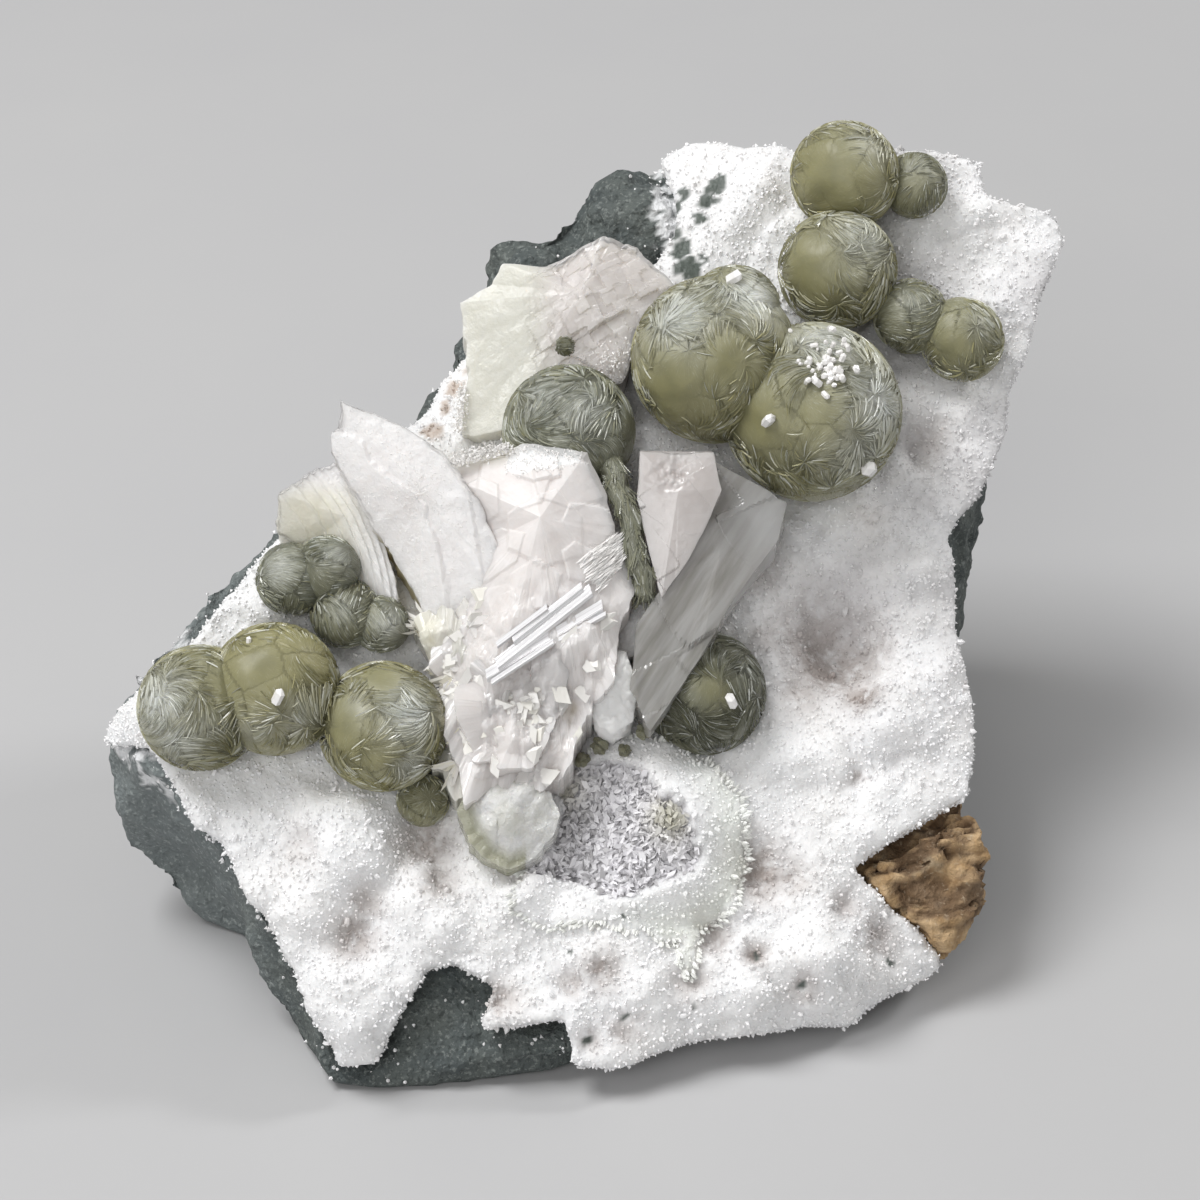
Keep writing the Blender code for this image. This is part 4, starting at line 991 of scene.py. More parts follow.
def gyrolite_cluster(name, balls, seed, *nodes):
    """The skins of a cluster as one piece, which stands for the given nodes, and its larger leaves as another."""
    middles = [(to_room(ball[0][:3]), ball[0][3]) for ball in balls]
    skins, marks, leaves = [], [], []
    for k, ball in enumerate(balls):
        (u, v, w, radius), tone, silvery_and_sheen, plain = ball
        fans = Fans(radius, seed + k)
        rings = globe(radius)
        ways = rings.reshape(-1, 3)
        patch, gap, turn, away = fans.at(ways)
        across = fans.across(patch, turn, away)
        waxy = np.clip(spotted(ways, plain), 0, 1)
        ribs = 0.035 * np.sin(across * 1.1) * smooth_step(0.2, 0.8, away) * (1 - waxy)
        groove = -0.08 * np.exp(-gap / 0.3) * (1 - waxy)
        lumpy = (0.4 * cloud(ways * radius + seed, 4.0, seed + k, 2) - 0.25) * min(1, radius / 5)
        reach = radius + ribs + groove + np.minimum(lumpy, 0)
        moved = to_room([u, v, w]) + rings * reach.reshape(rings.shape[:2])[..., None]
        top = to_room([u, v, w]) + UP_SLOPE * radius * 0.985
        bottom = to_room([u, v, w]) - UP_SLOPE * radius * 0.985
        skins.append(skin(moved, top, bottom))
        # The silvery spots are partly a painted sheen.
        columns = np.stack([across, away, np.full(len(ways), tone) + 0.25 * (fans.bright[patch] - 0.5),
                            spotted(ways, silvery_and_sheen), waxy, smooth_step(0.5, 0.0, gap)], axis=-1)
        marks.append(np.vstack([columns, columns[:1], columns[-1:]]))
        others = [middles[j] for j in range(len(balls)) if j != k]
        leaves.append(Leaves(ball, fans, others, seed + 50 + k))
    body = surface("gyrolite_" + name + "_skin", *gathered(skins))
    columns = np.vstack(marks)
    for k, tag in enumerate(("across", "along", "tone", "silvery_and_sheen", "waxy", "seam")):
        mark(body, tag, columns[:, k])
    mark(body, "painted_shade", np.full(len(columns), PAINTED_SHADE_BY_CLUSTER.get(name, 0.0)))
    dress(body, gyrolite_skin, "gyrolite", *nodes)
    blades = surface("gyrolite_" + name + "_leaves", *gathered([(each.points, each.triangles) for each in leaves]),
                     smooth=False)
    for tag in ("tone", "silvery_and_sheen", "each"):
        mark(blades, tag, np.concatenate([getattr(each, tag) for each in leaves]))
    mark(blades, "painted_shade", np.full(len(blades.data.vertices), PAINTED_SHADE_BY_CLUSTER.get(name, 0.0)))
    dress(blades, gyrolite_leaf, "gyrolite")


# %% [markdown]
# Gyrolite is waxy and lets some light in, so both of its materials scatter light under the surface.
# The skin's streaks come from noise that is stretched along the leaves and squeezed across them. Thin
# silver lines on the brightest streaks are painted highlights, and some of the larger leaves are
# painted silver as glints.

# %% Gyrolite finishes
OLIVE = (0.36, 0.335, 0.165)
OLIVE_DEEP = (0.255, 0.237, 0.112)
GREY_GREEN = (0.26, 0.272, 0.215)
GREY_GREEN_DEEP = (0.165, 0.172, 0.13)
SILVER_AND_HIGHLIGHT = (0.78, 0.80, 0.77)
WAX = (0.235, 0.222, 0.105)
WAX_DEEP = (0.185, 0.178, 0.088)
SHADY = (0.085, 0.085, 0.052)


def gyrolite_colour(made, streak):
    """The blend of deep and light colours by the streak, from olive to grey-green by tone, to silver in the silvery
    spots with their painted sheen, and darker where painted shade falls.
    """
    tone = made.marked("tone")
    deep = made.mix(tone, OLIVE_DEEP, GREY_GREEN_DEEP)
    light = made.mix(tone, OLIVE, GREY_GREEN)
    silvered_and_sheen = made.marked("silvery_and_sheen") * (streak * 0.65 + 0.4)
    return made.mix(made.marked("painted_shade"), made.mix(silvered_and_sheen, made.mix(streak, deep, light), SILVER_AND_HIGHLIGHT), SHADY)


skin_finish = Finish("gyrolite_waxy_skin")
along_leaves = skin_finish.node("CombineXYZ", {}, {
    "X": skin_finish.marked("across"), "Y": skin_finish.marked("along") * 0.45, "Z": 0.0})
fine = skin_finish.node("TexNoise", {}, {"Vector": along_leaves, "Scale": 2.4, "Detail": 3.0, "Roughness": 0.6}, 0)
waxy = skin_finish.marked("waxy")
streak = fine.over(0.36, 0.62) * (1 - waxy) + waxy * (skin_finish.specks(2.5).over(0.3, 0.7) * 0.3 + 0.6)
streak = streak * (1 - skin_finish.marked("seam") * (1 - waxy) * 0.3)
gyrolite_skin_colour = skin_finish.mix(waxy * 0.95, gyrolite_colour(skin_finish, streak), skin_finish.mix(skin_finish.specks(1.8, 4.0).over(0.3, 0.7), WAX_DEEP, WAX))
# Painted highlights: thin silver lines on the brightest streaks of the leaves.
painted_highlight_arcs = fine.over(0.60, 0.66) * (1 - waxy)
gyrolite_skin_colour = skin_finish.mix(painted_highlight_arcs * 0.45, gyrolite_skin_colour, SILVER_AND_HIGHLIGHT)
skin_finish.shade(
    gyrolite_skin_colour, waxy * 0.3 + (0.38 - streak * 0.1),
    skin_finish.bump(fine * (1 - waxy) + skin_finish.specks(0.25) * 0.15, 0.16),
    Subsurface_Weight=0.2, Subsurface_Radius=(1.0, 0.9, 0.55), Subsurface_Scale=0.0012,
    Coat_Weight=0.25, Coat_Roughness=0.3)
gyrolite_skin = skin_finish

leaf_finish = Finish("gyrolite_leaf_edges")
each_leaf = leaf_finish.marked("each")
# Painted glints: a share of the larger leaves is turned silver.
leaf_finish.shade(
    leaf_finish.mix(each_leaf.over(0.72, 0.95) * 0.6, gyrolite_colour(leaf_finish, each_leaf * 0.3 + 0.7), SILVER_AND_HIGHLIGHT),
    0.26 - each_leaf * 0.14,
    leaf_finish.bump(leaf_finish.specks(0.2, 2.0), 0.03))
gyrolite_leaf = leaf_finish


for number, (cluster, balls) in enumerate(BALLS.items()):
    gyrolite_cluster(cluster, balls, 100 + number * 17, "gyrolite_" + cluster)

# %% [markdown]
# ## The stem and the broken lens
#
# A strip of gyrolite runs from the middle ball down between two calcite plates. It is swept along a
# path: at each station a ring of points is laid across the way, made rough, and covered with small
# leaves that lean off the path to both sides. At the low end of the calcite lies half a ball that
# broke open. It is pale and glassy, so it lets light through.

# %% Stem
STEM_PATH = np.array([
    (0.4, 54.0, 17.2), (1.4, 51.2, 17.8), (2.2, 48.6, 17.6), (3.1, 45.4, 16.8), (3.7, 42.8, 16.0), (3.9, 40.8, 14.8),
])
STEM_WIDTH, STEM_DEPTH = 1.1, 1.0
station = np.linspace(0, 1, 90)
path = np.stack([np.interp(station, np.linspace(0, 1, 6), STEM_PATH[:, k]) for k in range(3)], axis=-1)
path[:, 0] += 0.12 * np.sin(station * 17) + 0.10 * np.sin(station * 41)
ahead = np.gradient(path, axis=0)
ahead /= np.linalg.norm(ahead, axis=1)[:, None]
beside = np.cross(ahead, [0, 0, 1.0])
beside /= np.linalg.norm(beside, axis=1)[:, None]
upward = np.cross(beside, ahead)
turns = np.arange(44) / 44 * 2 * math.pi
taper = (1 - 0.2 * station) * np.sqrt(1 - np.abs(station * 1.96 - 0.98) ** 9)
outwards = (beside[:, None] * (np.cos(turns) * STEM_WIDTH)[None, :, None]
            + upward[:, None] * (np.sin(turns) * STEM_DEPTH)[None, :, None]) * taper[:, None, None]
strip_places = path[:, None] + outwards
swell = 1 + (0.22 * cloud(strip_places.reshape(-1, 3), 1.7, 261, 2) + 0.08 * cloud(strip_places.reshape(-1, 3), 0.5, 262, 2))
strip_places = path[:, None] + outwards * swell.reshape(90, 44, 1)
stem_points, stem_triangles = skin(to_room(strip_places), to_room(path[0]), to_room(path[-1]))
stem = surface("gyrolite_stem_skin", stem_points, stem_triangles)
run = np.repeat(station * 16, 44)
lie = np.tile(turns * 3.0, 90) + run * 1.3
# The stem lies down between the calcite plates and is darkened there with painted shade.
for tag, values in (("across", lie), ("along", run), ("tone", 0.85 + 0 * run), ("silvery_and_sheen", 0.05 + 0 * run),
                    ("waxy", 0 * run), ("seam", 0 * run), ("painted_shade", 0.4 + 0 * run)):
    mark(stem, tag, np.append(values, (values[0], values[-1])))
dress(stem, gyrolite_skin, "gyrolite")
draw = np.random.RandomState(263)
spots = draw.randint(0, 90 * 44, 420)
level = spots // 44
side = np.where(np.cos(turns[spots % 44]) > 0, 1.0, -1.0)
leaf_ways = ahead[level] + beside[level] * (side * draw.uniform(-0.1, 0.45, len(spots)))[:, None]
leaf_ways /= np.linalg.norm(leaf_ways, axis=1)[:, None]
leaf_out = outwards.reshape(-1, 3)[spots]
leaf_out -= np.sum(leaf_out * leaf_ways, axis=1)[:, None] * leaf_ways
leaf_out /= np.linalg.norm(leaf_out, axis=1)[:, None]
leaf_axes = np.stack([leaf_ways, np.cross(leaf_out, leaf_ways), leaf_out], axis=1)
leaf_axes = leaf_axes @ np.stack([RIGHT, UP_SLOPE, OUT])
stem_leaf_points, stem_leaf_triangles = copies(
    lath(), to_room(strip_places.reshape(-1, 3)[spots]), leaf_axes,
    np.column_stack([draw.uniform(0.8, 2.2, len(spots)), draw.uniform(0.08, 0.2, len(spots)),
                     draw.uniform(0.06, 0.12, len(spots))]))
stem_leaves = surface("gyrolite_stem_leaves", stem_leaf_points, stem_leaf_triangles, smooth=False)
# The stem's leaves are darkened with the same painted shade.
for tag, values in (("tone", draw.uniform(0.6, 1.0, len(spots))), ("silvery_and_sheen", draw.uniform(0.0, 0.12, len(spots))),
                    ("each", draw.uniform(0, 0.85, len(spots))), ("painted_shade", np.full(len(spots), 0.4))):
    mark(stem_leaves, tag, np.repeat(values, len(lath()[0])))
dress(stem_leaves, gyrolite_leaf, "gyrolite")

# %% Broken lens finish
lens_glass = Finish("gyrolite_glassy")
lens_colour = lens_glass.mix(lens_glass.specks(1.6, 4.0).over(0.35, 0.65), (0.84, 0.84, 0.79), (0.96, 0.955, 0.94))
lens_glass.shade(
    lens_glass.mix(lens_glass.marked("rim") * 0.7, lens_colour, (0.40, 0.40, 0.24)), 0.07,
    lens_glass.bump(lens_glass.specks(0.5, 4.0) + lens_glass.grains(1.2) * 0.8, 0.3),
    Transmission_Weight=0.25, IOR=1.54, Subsurface_Weight=0.6, Subsurface_Scale=0.002)

# %% [markdown]
# ## Green crumbs
#
# Small bits of gyrolite cling to the crust where the calcite ends. Each is a little knobbly ball.

# %% Crumbs
CRUMBS = [
    (4.0, 38.4, 12.2, 0.9), (4.3, 35.2, 11.6, 0.8), (4.5, 32.5, 10.6, 0.7), (3.9, 30.6, 9.4, 0.8),
    (0.0, 29.4, 8.6, 0.8), (-4.3, 26.4, 8.2, 0.9), (4.7, 37.1, 11.4, 0.7), (-1.6, 28.2, 8.3, 0.7),
    (2.2, 29.0, 8.6, 0.6), (-3.0, 27.4, 8.2, 0.6),
]
shapes, marks = [], []
for number, (u, v, w, radius) in enumerate(CRUMBS):
    small = Fans(radius, 300 + number, 1.4)
    rings = globe(radius * 1.6)
    ways = rings.reshape(-1, 3)
    patch, gap, turn, away = small.at(ways)
    reach = radius * (1 - 0.35 * np.exp(-gap / 0.12) + 0.25 * cloud(ways * 2 + number, 1.0, 5))
    middle = to_room([u, v, w])
    shapes.append(skin(middle + rings * reach.reshape(rings.shape[:2])[..., None],
                       middle + UP_SLOPE * radius * 0.9, middle - UP_SLOPE * radius * 0.9))
    columns = np.stack([small.across(patch, turn, away), away], axis=-1)
    marks.append(np.vstack([columns, columns[:1], columns[-1:]]))
crumbs = surface("gyrolite_crumbs", *gathered(shapes))
columns = np.vstack(marks)
for tag, values in (("across", columns[:, 0]), ("along", columns[:, 1]), ("tone", 0.5 + 0 * columns[:, 0]),
                    ("silvery_and_sheen", 0.1 + 0 * columns[:, 0]), ("waxy", 0 * columns[:, 0]), ("seam", 0 * columns[:, 0])):
    mark(crumbs, tag, values)
dress(crumbs, gyrolite_skin, "gyrolite")

# %% [markdown]
# ## The calcite plates
#
# Calcite breaks along three flat ways only, so its plates are stepped, with many small facets that
# flash together. Each plate is a fan of rows from a peak to its rim, then a wall, then its back. Its
# corners and peak are those of its solid. `cleavage` breaks a surface into random patches, and tilts
# each patch one of three ways. `lamellae` lays thin curved sheets over one another, like roof tiles.

# %% Plate shape
CLEAVAGE_WAYS = np.array([(0.85, 0.25, 0.46), (-0.5, 0.75, 0.43), (0.1, -0.65, 0.75)])


def cleavage(points, size, seed, tilt, step):
    """Space is cut into skewed blocks along the three ways. Each leans by the tilt and stands by a part of the step."""
    skewed = (points + cloud(points, size * 1.5, seed, 2)[:, None] * size * 0.12) @ CLEAVAGE_WAYS.T / size
    skewed[:, 0] += lattice_numbers(np.floor(skewed[:, [1, 2, 2]]).astype(np.int64), seed + 1)
    skewed[:, 1] += lattice_numbers(np.floor(skewed[:, [0, 2, 0]]).astype(np.int64), seed + 2)
    block = np.floor(skewed).astype(np.int64)
    height = lattice_numbers(block, seed + 3) - 0.5
    lean = lattice_numbers(block, seed + 4)[:, None] * 2 - 1
    return step * height + tilt * size * np.sum((skewed - block - 0.5) * lean * (0.6, -0.8, 0.4), axis=1)


def rhomb_corners(face, size, seed, slope=0.7):
    """Corners of rhombs grown side by side: each falls off three ways from its tip, and the highest one shows."""
    spots = face[:, :2] / (size, size * 1.3)
    highest = np.full(len(spots), -9.0)
    for right in (-1, 0, 1):
        for up in (-1, 0, 1):
            cell = np.floor(spots).astype(np.int64) + (right, up)
            own = [lattice_numbers(cell[:, [0, 1, 1]], seed + k) for k in range(4)]
            away = spots - cell - np.stack(own[:2], axis=-1)
            turns = own[2][:, None] * 2.1 + np.array([0, 2.0, 4.3])
            falls = (away[:, :1] * np.cos(turns) + away[:, 1:] * np.sin(turns)).max(axis=1)
            highest = np.maximum(highest, own[3] * 0.8 - falls * slope)
    return highest * size


def lamellae(face_places, centre, width, seed, step, power=1.0):
    """Roof tiles in arcs: the height climbs with the distance from the centre and drops at each sheet's edge."""
    far = np.hypot(face_places[:, 0] - centre[0], face_places[:, 1] - centre[1])
    far = (far / width) ** power + 0.22 * cloud(face_places, 7.0, seed, 2) + 0.10 * cloud(face_places, 1.3, seed + 1, 3)
    share = far % 1
    return step * (np.minimum(share**1.5, (1 - share) / 0.12) - 0.5)


def slab(name, corners, peak, roughen, wobble, seed, grid=(190, 58, 16, 6), smooth=False):
    """Rows from the peak to the rim, down the wall and over the back, roughened along the outward ways."""
    around, front_rows, wall_rows, back_rows = grid
    rows = np.asarray(corners, float)
    closed = np.vstack([rows, rows[:1]])
    lengths = np.concatenate([[0], np.cumsum(np.hypot(*np.diff(closed[:, :2], axis=0).T))])
    spots = np.arange(around) / around * lengths[-1]
    rim = np.stack([np.interp(spots, lengths, closed[:, k]) for k in range(4)], axis=-1)
    heart = rows[:, :3].mean(axis=0) if peak is None else np.asarray(peak, float)
    back_heart = np.append(rows[:, :2].mean(axis=0), rows[:, 3].mean())
    uneven = 1 - wobble * (0.5 + 0.5 * cloud(rim[:, :3], 1.6, seed, 3))
    rim[:, :2] = heart[:2] + (rim[:, :2] - heart[:2]) * uneven[:, None]
    front_share = ((np.arange(front_rows) + 1) / front_rows)[:, None, None]
    front = heart + (rim[None, :, :3] - heart) * front_share
    low_rim = np.column_stack([rim[:, :2], rim[:, 3]])
    wall_share = ((np.arange(wall_rows) + 1) / wall_rows)[:, None, None]
    wall = rim[None, :, :3] + (low_rim - rim[:, :3]) * wall_share
    back_share = ((back_rows - np.arange(back_rows)) / (back_rows + 1))[:, None, None]
    back = back_heart + (low_rim - back_heart) * back_share
    rings = to_room(np.concatenate([front, wall, back]))
    points, triangles = skin(rings, to_room(heart), to_room(back_heart))
    beside = rim[:, :2] - heart[:2]
    beside = (beside[:, :1] * RIGHT + beside[:, 1:] * UP_SLOPE) / np.linalg.norm(beside, axis=1)[:, None]
    ways = np.concatenate([np.repeat(OUT[None, None], front_rows * around, axis=1)[0],
                           np.tile(beside, (wall_rows, 1)), np.repeat(-OUT[None], back_rows * around, axis=0), [OUT, -OUT]])
    ways[(front_rows - 1) * around:front_rows * around] += beside
    moved = points + ways * roughen(points, to_face(points))[:, None]
    return surface(name, moved, triangles, smooth=smooth)


# %% [markdown]
# Four calcite materials are needed. The fan is milky, the small facets are clearer and a little pink,
# the big blade at the right is grey and see-through, and the low piece is like porcelain.

# %% Calcite finishes
def calcite_finish(name, light, shadow, roughness, seen_through, soft, relief=0.06):
    """Calcite: two near colours in clouds, faint planes inside, olive-brown painted shade in its low spots, and shares
    of clear and of scattered light.
    """
    made = Finish(name)
    veils = made.specks(3.0, 4.0).over(0.32, 0.68)
    planes = made.node("SeparateColor", {}, {"Color": made.grains(3.2, "Color")}, 0)
    colour = made.mix(veils * 0.7 + planes * 0.3, shadow, light)
    # Painted shade, tinted olive-brown, in the low spots.
    colour = made.mix(made.marked("recess_painted_shade"), colour, (0.42, 0.36, 0.17))
    colour = made.mix(made.marked("yellow"), colour, (0.80, 0.77, 0.60))
    colour = made.mix(made.marked("snow"), colour, (0.95, 0.95, 0.95))
    return made.shade(
        colour, (made.specks(1.0) * 0.25 + roughness) * (1 - made.marked("glaze") * 0.75), made.bump(made.specks(0.35, 4.0), relief),
        Transmission_Weight=seen_through, IOR=1.58, Subsurface_Weight=soft,
        Subsurface_Radius=(1.0, 0.94, 0.90), Subsurface_Scale=3 * MM)


milky = calcite_finish("calcite_milky", (0.93, 0.915, 0.91), (0.87, 0.845, 0.84), 0.30, 0.0, 0.6, 0.10)
pinkish = calcite_finish("calcite_pinkish", (0.83, 0.80, 0.79), (0.74, 0.70, 0.68), 0.40, 0.0, 0.6, 0.04)
rosy = calcite_finish("calcite_rosy", (0.75, 0.71, 0.695), (0.66, 0.615, 0.595), 0.05, 0.25, 0.5, 0.03)
cream = calcite_finish("calcite_cream", (0.96, 0.955, 0.94), (0.93, 0.92, 0.89), 0.3, 0.0, 0.5)
glazed = calcite_finish("calcite_glazed", (0.80, 0.785, 0.755), (0.66, 0.645, 0.60), 0.08, 0.0, 0.4, 0.05)
glazed_pieces = calcite_finish(
    "calcite_glazed_pieces", (0.86, 0.845, 0.82), (0.76, 0.745, 0.71), 0.06, 0.0, 0.0, 0.03)
sugary = calcite_finish("calcite_small_pieces", (0.95, 0.94, 0.93), (0.86, 0.84, 0.82), 0.06, 0.0, 0.0, 0.03)
glassy = calcite_finish("calcite_clear_pieces", (0.96, 0.95, 0.94), (0.88, 0.86, 0.84), 0.02, 0.45, 0.0, 0.02)

smoky = Finish("calcite_smoky_blade")
threads = smoky.node("CombineXYZ", {}, {
    "X": smoky.marked("beside"), "Y": smoky.marked("along") * 0.12, "Z": 0.0})
thread = smoky.node("TexNoise", {}, {"Vector": threads, "Scale": 0.9, "Detail": 4.0}, 0)
smoke = smoky.mix(thread.over(0.38, 0.62), (0.50, 0.485, 0.45), (0.76, 0.75, 0.73))
smoke = smoky.mix(smoky.marked("clouded") * 0.8, smoke, (0.95, 0.95, 0.95))
smoky.shade(smoke, thread * 0.2 + 0.02, smoky.bump(thread, 0.1), Transmission_Weight=0.55, IOR=1.58,
            Subsurface_Weight=0.4, Subsurface_Radius=(1.0, 0.96, 0.92), Subsurface_Scale=0.002)

# %% Plates
FAN_PLATE = [
    (-23.2, 57.1, 23.0, 20.6), (-17.5, 54.8, 22.0, 14.0), (-13.6, 52.9, 21.0, 9.0),
    (-10.3, 48.6, 19.6, 6.0), (-6.8, 40.5, 16.2, 6.0), (-12.8, 37.2, 13.5, 6.0),
    (-15.0, 38.6, 13.5, 6.0), (-17.2, 42.9, 14.6, 9.0), (-19.9, 46.3, 16.4, 12.0),
    (-22.8, 50.8, 19.0, 16.0), (-24.2, 53.1, 20.2, 17.6),
]
LEFT_PLATE = [
    (-28.7, 50.1, 18.0, 15.6), (-26.5, 51.5, 18.5, 16.0), (-23.2, 53.2, 18.0, 15.2),
    (-20.8, 50.0, 16.6, 12.0), (-18.6, 45.6, 14.2, 6.0), (-16.6, 38.6, 12.2, 6.0),
    (-22.4, 42.4, 12.2, 6.0), (-26.7, 46.2, 13.8, 9.0), (-28.8, 47.2, 15.0, 12.0),
]
CENTRE_MASS = [
    (-15.4, 52.3, 18.6, 6.0), (-7.0, 53.9, 21.0, 6.0), (-0.9, 53.1, 21.2, 6.0), (0.9, 49.5, 19.6, 6.0),
    (1.8, 45.4, 18.0, 6.0), (3.3, 41.4, 16.2, 6.0), (2.0, 37.4, 15.2, 5.0), (-0.4, 31.9, 13.8, 5.0),
    (-3.5, 25.0, 10.8, 5.0), (-11.4, 24.4, 10.2, 5.0), (-13.4, 32.4, 12.2, 5.0), (-14.6, 38.2, 12.8, 5.0),
    (-12.6, 45.0, 15.0, 5.0),
]
LOW_BLADE = [
    (-10.8, 33.6, 14.2, 8.0), (-3.6, 35.8, 16.2, 8.0), (-2.6, 31.6, 14.4, 7.0), (-6.0, 26.6, 12.4, 6.0),
    (-10.6, 27.2, 12.0, 6.0),
]
TABLET = [
    (3.4, 53.2, 20.0, 6.0), (10.1, 53.1, 20.0, 6.0), (10.8, 49.7, 19.0, 6.0), (9.7, 47.3, 18.0, 6.0),
    (7.9, 43.9, 17.0, 6.0), (5.4, 40.6, 15.8, 6.0), (4.2, 44.6, 17.0, 6.0), (3.2, 49.0, 18.6, 6.0),
]
GREY_BLADE = [
    (10.0, 53.0, 18.0, 6.0), (16.9, 50.6, 14.4, 7.0), (16.0, 47.0, 14.0, 9.0), (11.9, 41.2, 14.4, 11.0),
    (8.8, 35.6, 14.0, 11.6), (4.3, 29.2, 12.6, 10.6), (2.4, 32.8, 13.8, 6.0), (3.0, 38.4, 15.4, 6.0),
    (6.6, 43.6, 16.0, 6.0), (9.0, 47.4, 17.0, 6.0),
]
CREAM_PIECE = [
    (-1.0, 36.4, 14.6, 5.0), (2.5, 36.8, 14.4, 6.0), (3.4, 33.0, 13.2, 6.0), (3.1, 30.4, 12.0, 6.0),
    (1.2, 29.6, 11.4, 6.0), (-0.2, 29.8, 11.6, 5.0), (-1.4, 32.4, 13.6, 5.0),
]
LEFT_JUMBLE = [
    (-17.0, 39.6, 12.4, 6.0), (-15.2, 41.0, 13.6, 6.0), (-12.6, 38.6, 13.6, 6.0), (-11.0, 33.2, 13.4, 6.0),
    (-8.8, 27.6, 12.0, 6.0), (-9.2, 24.8, 10.6, 6.0), (-12.6, 24.4, 9.6, 6.0), (-14.8, 26.2, 10.2, 6.0),
    (-14.0, 29.6, 11.2, 6.0), (-13.4, 32.8, 12.0, 6.0), (-15.0, 36.4, 12.2, 6.0),
]
CALCITE_FOOT = [
    (-14.0, 50.0, 13.0, 5.0), (0.0, 52.4, 13.0, 5.0), (10.4, 51.4, 13.2, 5.0), (8.0, 44.0, 12.8, 5.0),
    (4.0, 37.0, 12.0, 5.0), (-6.0, 32.0, 11.0, 5.0), (-13.0, 38.0, 11.8, 5.0),
]
BACK_PLATE = [
    (-13.1, 69.6, 14.8, 12.0), (-10.1, 71.2, 15.4, 12.6), (-9.1, 73.1, 16.0, 12.0), (-5.0, 72.9, 15.8, 8.0),
    (0.5, 75.3, 18.0, 7.0), (3.6, 74.3, 17.0, 7.0), (7.0, 71.2, 15.6, 7.0), (3.8, 66.6, 15.6, 7.0),
    (2.2, 61.4, 15.0, 7.0), (-3.6, 60.4, 14.6, 7.0), (-9.0, 57.4, 13.6, 7.0), (-12.9, 57.2, 12.2, 7.0),
    (-12.3, 63.3, 13.8, 9.0),
]


def shells(places, face):
    """The fan's sheets, with sugary grains on them."""
    return lamellae(face, (-31.0, 38.0), 3.6, 91, 0.36) + 0.07 * cloud(places, 0.8, 92, 3) - 0.2


def small_shells(places, face):
    return lamellae(face, (-36.0, 40.0), 10.5, 94, 0.32, 4.0) + 0.04 * cloud(places, 0.9, 95, 2) - 0.25


OVERLAPPING = [
    (-7.6, 49.6, 3.4, 0.2), (-3.0, 49.9, 3.2, 0.9), (-4.8, 45.6, 3.9, 0.5), (-9.3, 44.2, 3.0, 1.3),
    (-0.8, 46.6, 2.6, 0.1), (-1.4, 42.9, 2.3, 0.7), (-11.2, 48.6, 2.6, 0.4), (-9.8, 39.9, 2.4, 1.0),
    (-5.6, 40.9, 2.6, 0.3), (-5.6, 51.2, 2.2, 0.6),
]


def six_sided_plates(face):
    """Plates with six uneven sides that overlap: inside each outline the height rises by a plane of its own."""
    height = np.zeros(len(face))
    for order, (u, v, radius, turn) in enumerate(OVERLAPPING):
        uneven = np.random.RandomState(order)
        angle = turn + np.arange(6) * math.pi / 3 + uneven.uniform(-0.22, 0.22, 6)
        far = radius * uneven.uniform(0.8, 1.15, 6)
        outline = np.column_stack([u + far * np.cos(angle) * 1.1, v + far * np.sin(angle) * 0.9])
        plane = 0.22 + uneven.uniform(-0.05, 0.05) * (face[:, 0] - u) + uneven.uniform(-0.05, 0.05) * (face[:, 1] - v)
        height += smooth_step(0.0, 0.25, inside_outline(face[:, :2], outline)) * plane
    return height


def folds(face):
    """The broken low end of the mass: corners of three sizes."""
    return (rhomb_corners(face, 3.0, 101, 0.6) + rhomb_corners(face, 1.3, 102, 0.6)
            + rhomb_corners(face, 0.6, 105, 0.4) - 0.7)


def jumble(places, face):
    """Plates above, and the folds below."""
    low_end = smooth_step(44.0, 34.0, face[:, 1])
    return (folds(face) * (0.04 + 0.96 * low_end) + (1 - low_end) * (six_sided_plates(face) - 0.6)
            + 0.03 * cloud(places, 0.8, 103, 2) - 0.2)


def coarse_jumble(places, face):
    """Corners of three sizes, with hardly a flat part between them."""
    return (rhomb_corners(face, 3.2, 161, 0.7) + rhomb_corners(face, 1.5, 162, 0.6)
            + rhomb_corners(face, 0.7, 164, 0.45) - 1.2)


def tablet_steps(places, face):
    """Broad flat steps, and a small rough hole."""
    hole = np.exp(-((face[:, 0] - 6.4) ** 2 + (face[:, 1] - 51.2) ** 2) / 1.6)
    return (cleavage(places, 6.0, 111, 0.03, 0.25) + 0.03 * cloud(places, 0.8, 112, 2) - 0.15
            - hole * (0.5 + 0.4 * cloud(places, 0.6, 113, 2)))


def blade_steps(places, face):
    """Long smooth faces with a few fine steps across."""
    return cleavage(places, 9.0, 121, 0.02, 0.3) + 0.03 * cloud(places, 2.0, 122, 2) - 0.15


def porcelain(places, face):
    return 0.45 * cloud(places, 2.2, 131, 4) + 0.25 * np.abs(cloud(places, 0.9, 132, 2)) - 0.35


def back_steps(places, face):
    """Smooth at the left, broken into facets towards the peak."""
    right = smooth_step(-8.0, -3.0, face[:, 0])
    facets = cleavage(places, 3.4, 141, 0.08, 0.4) + cleavage(places, 1.3, 143, 0.10, 0.25)
    return right * (facets - 0.3) + 0.12 * cloud(places, 2.0, 142, 4) - 0.1


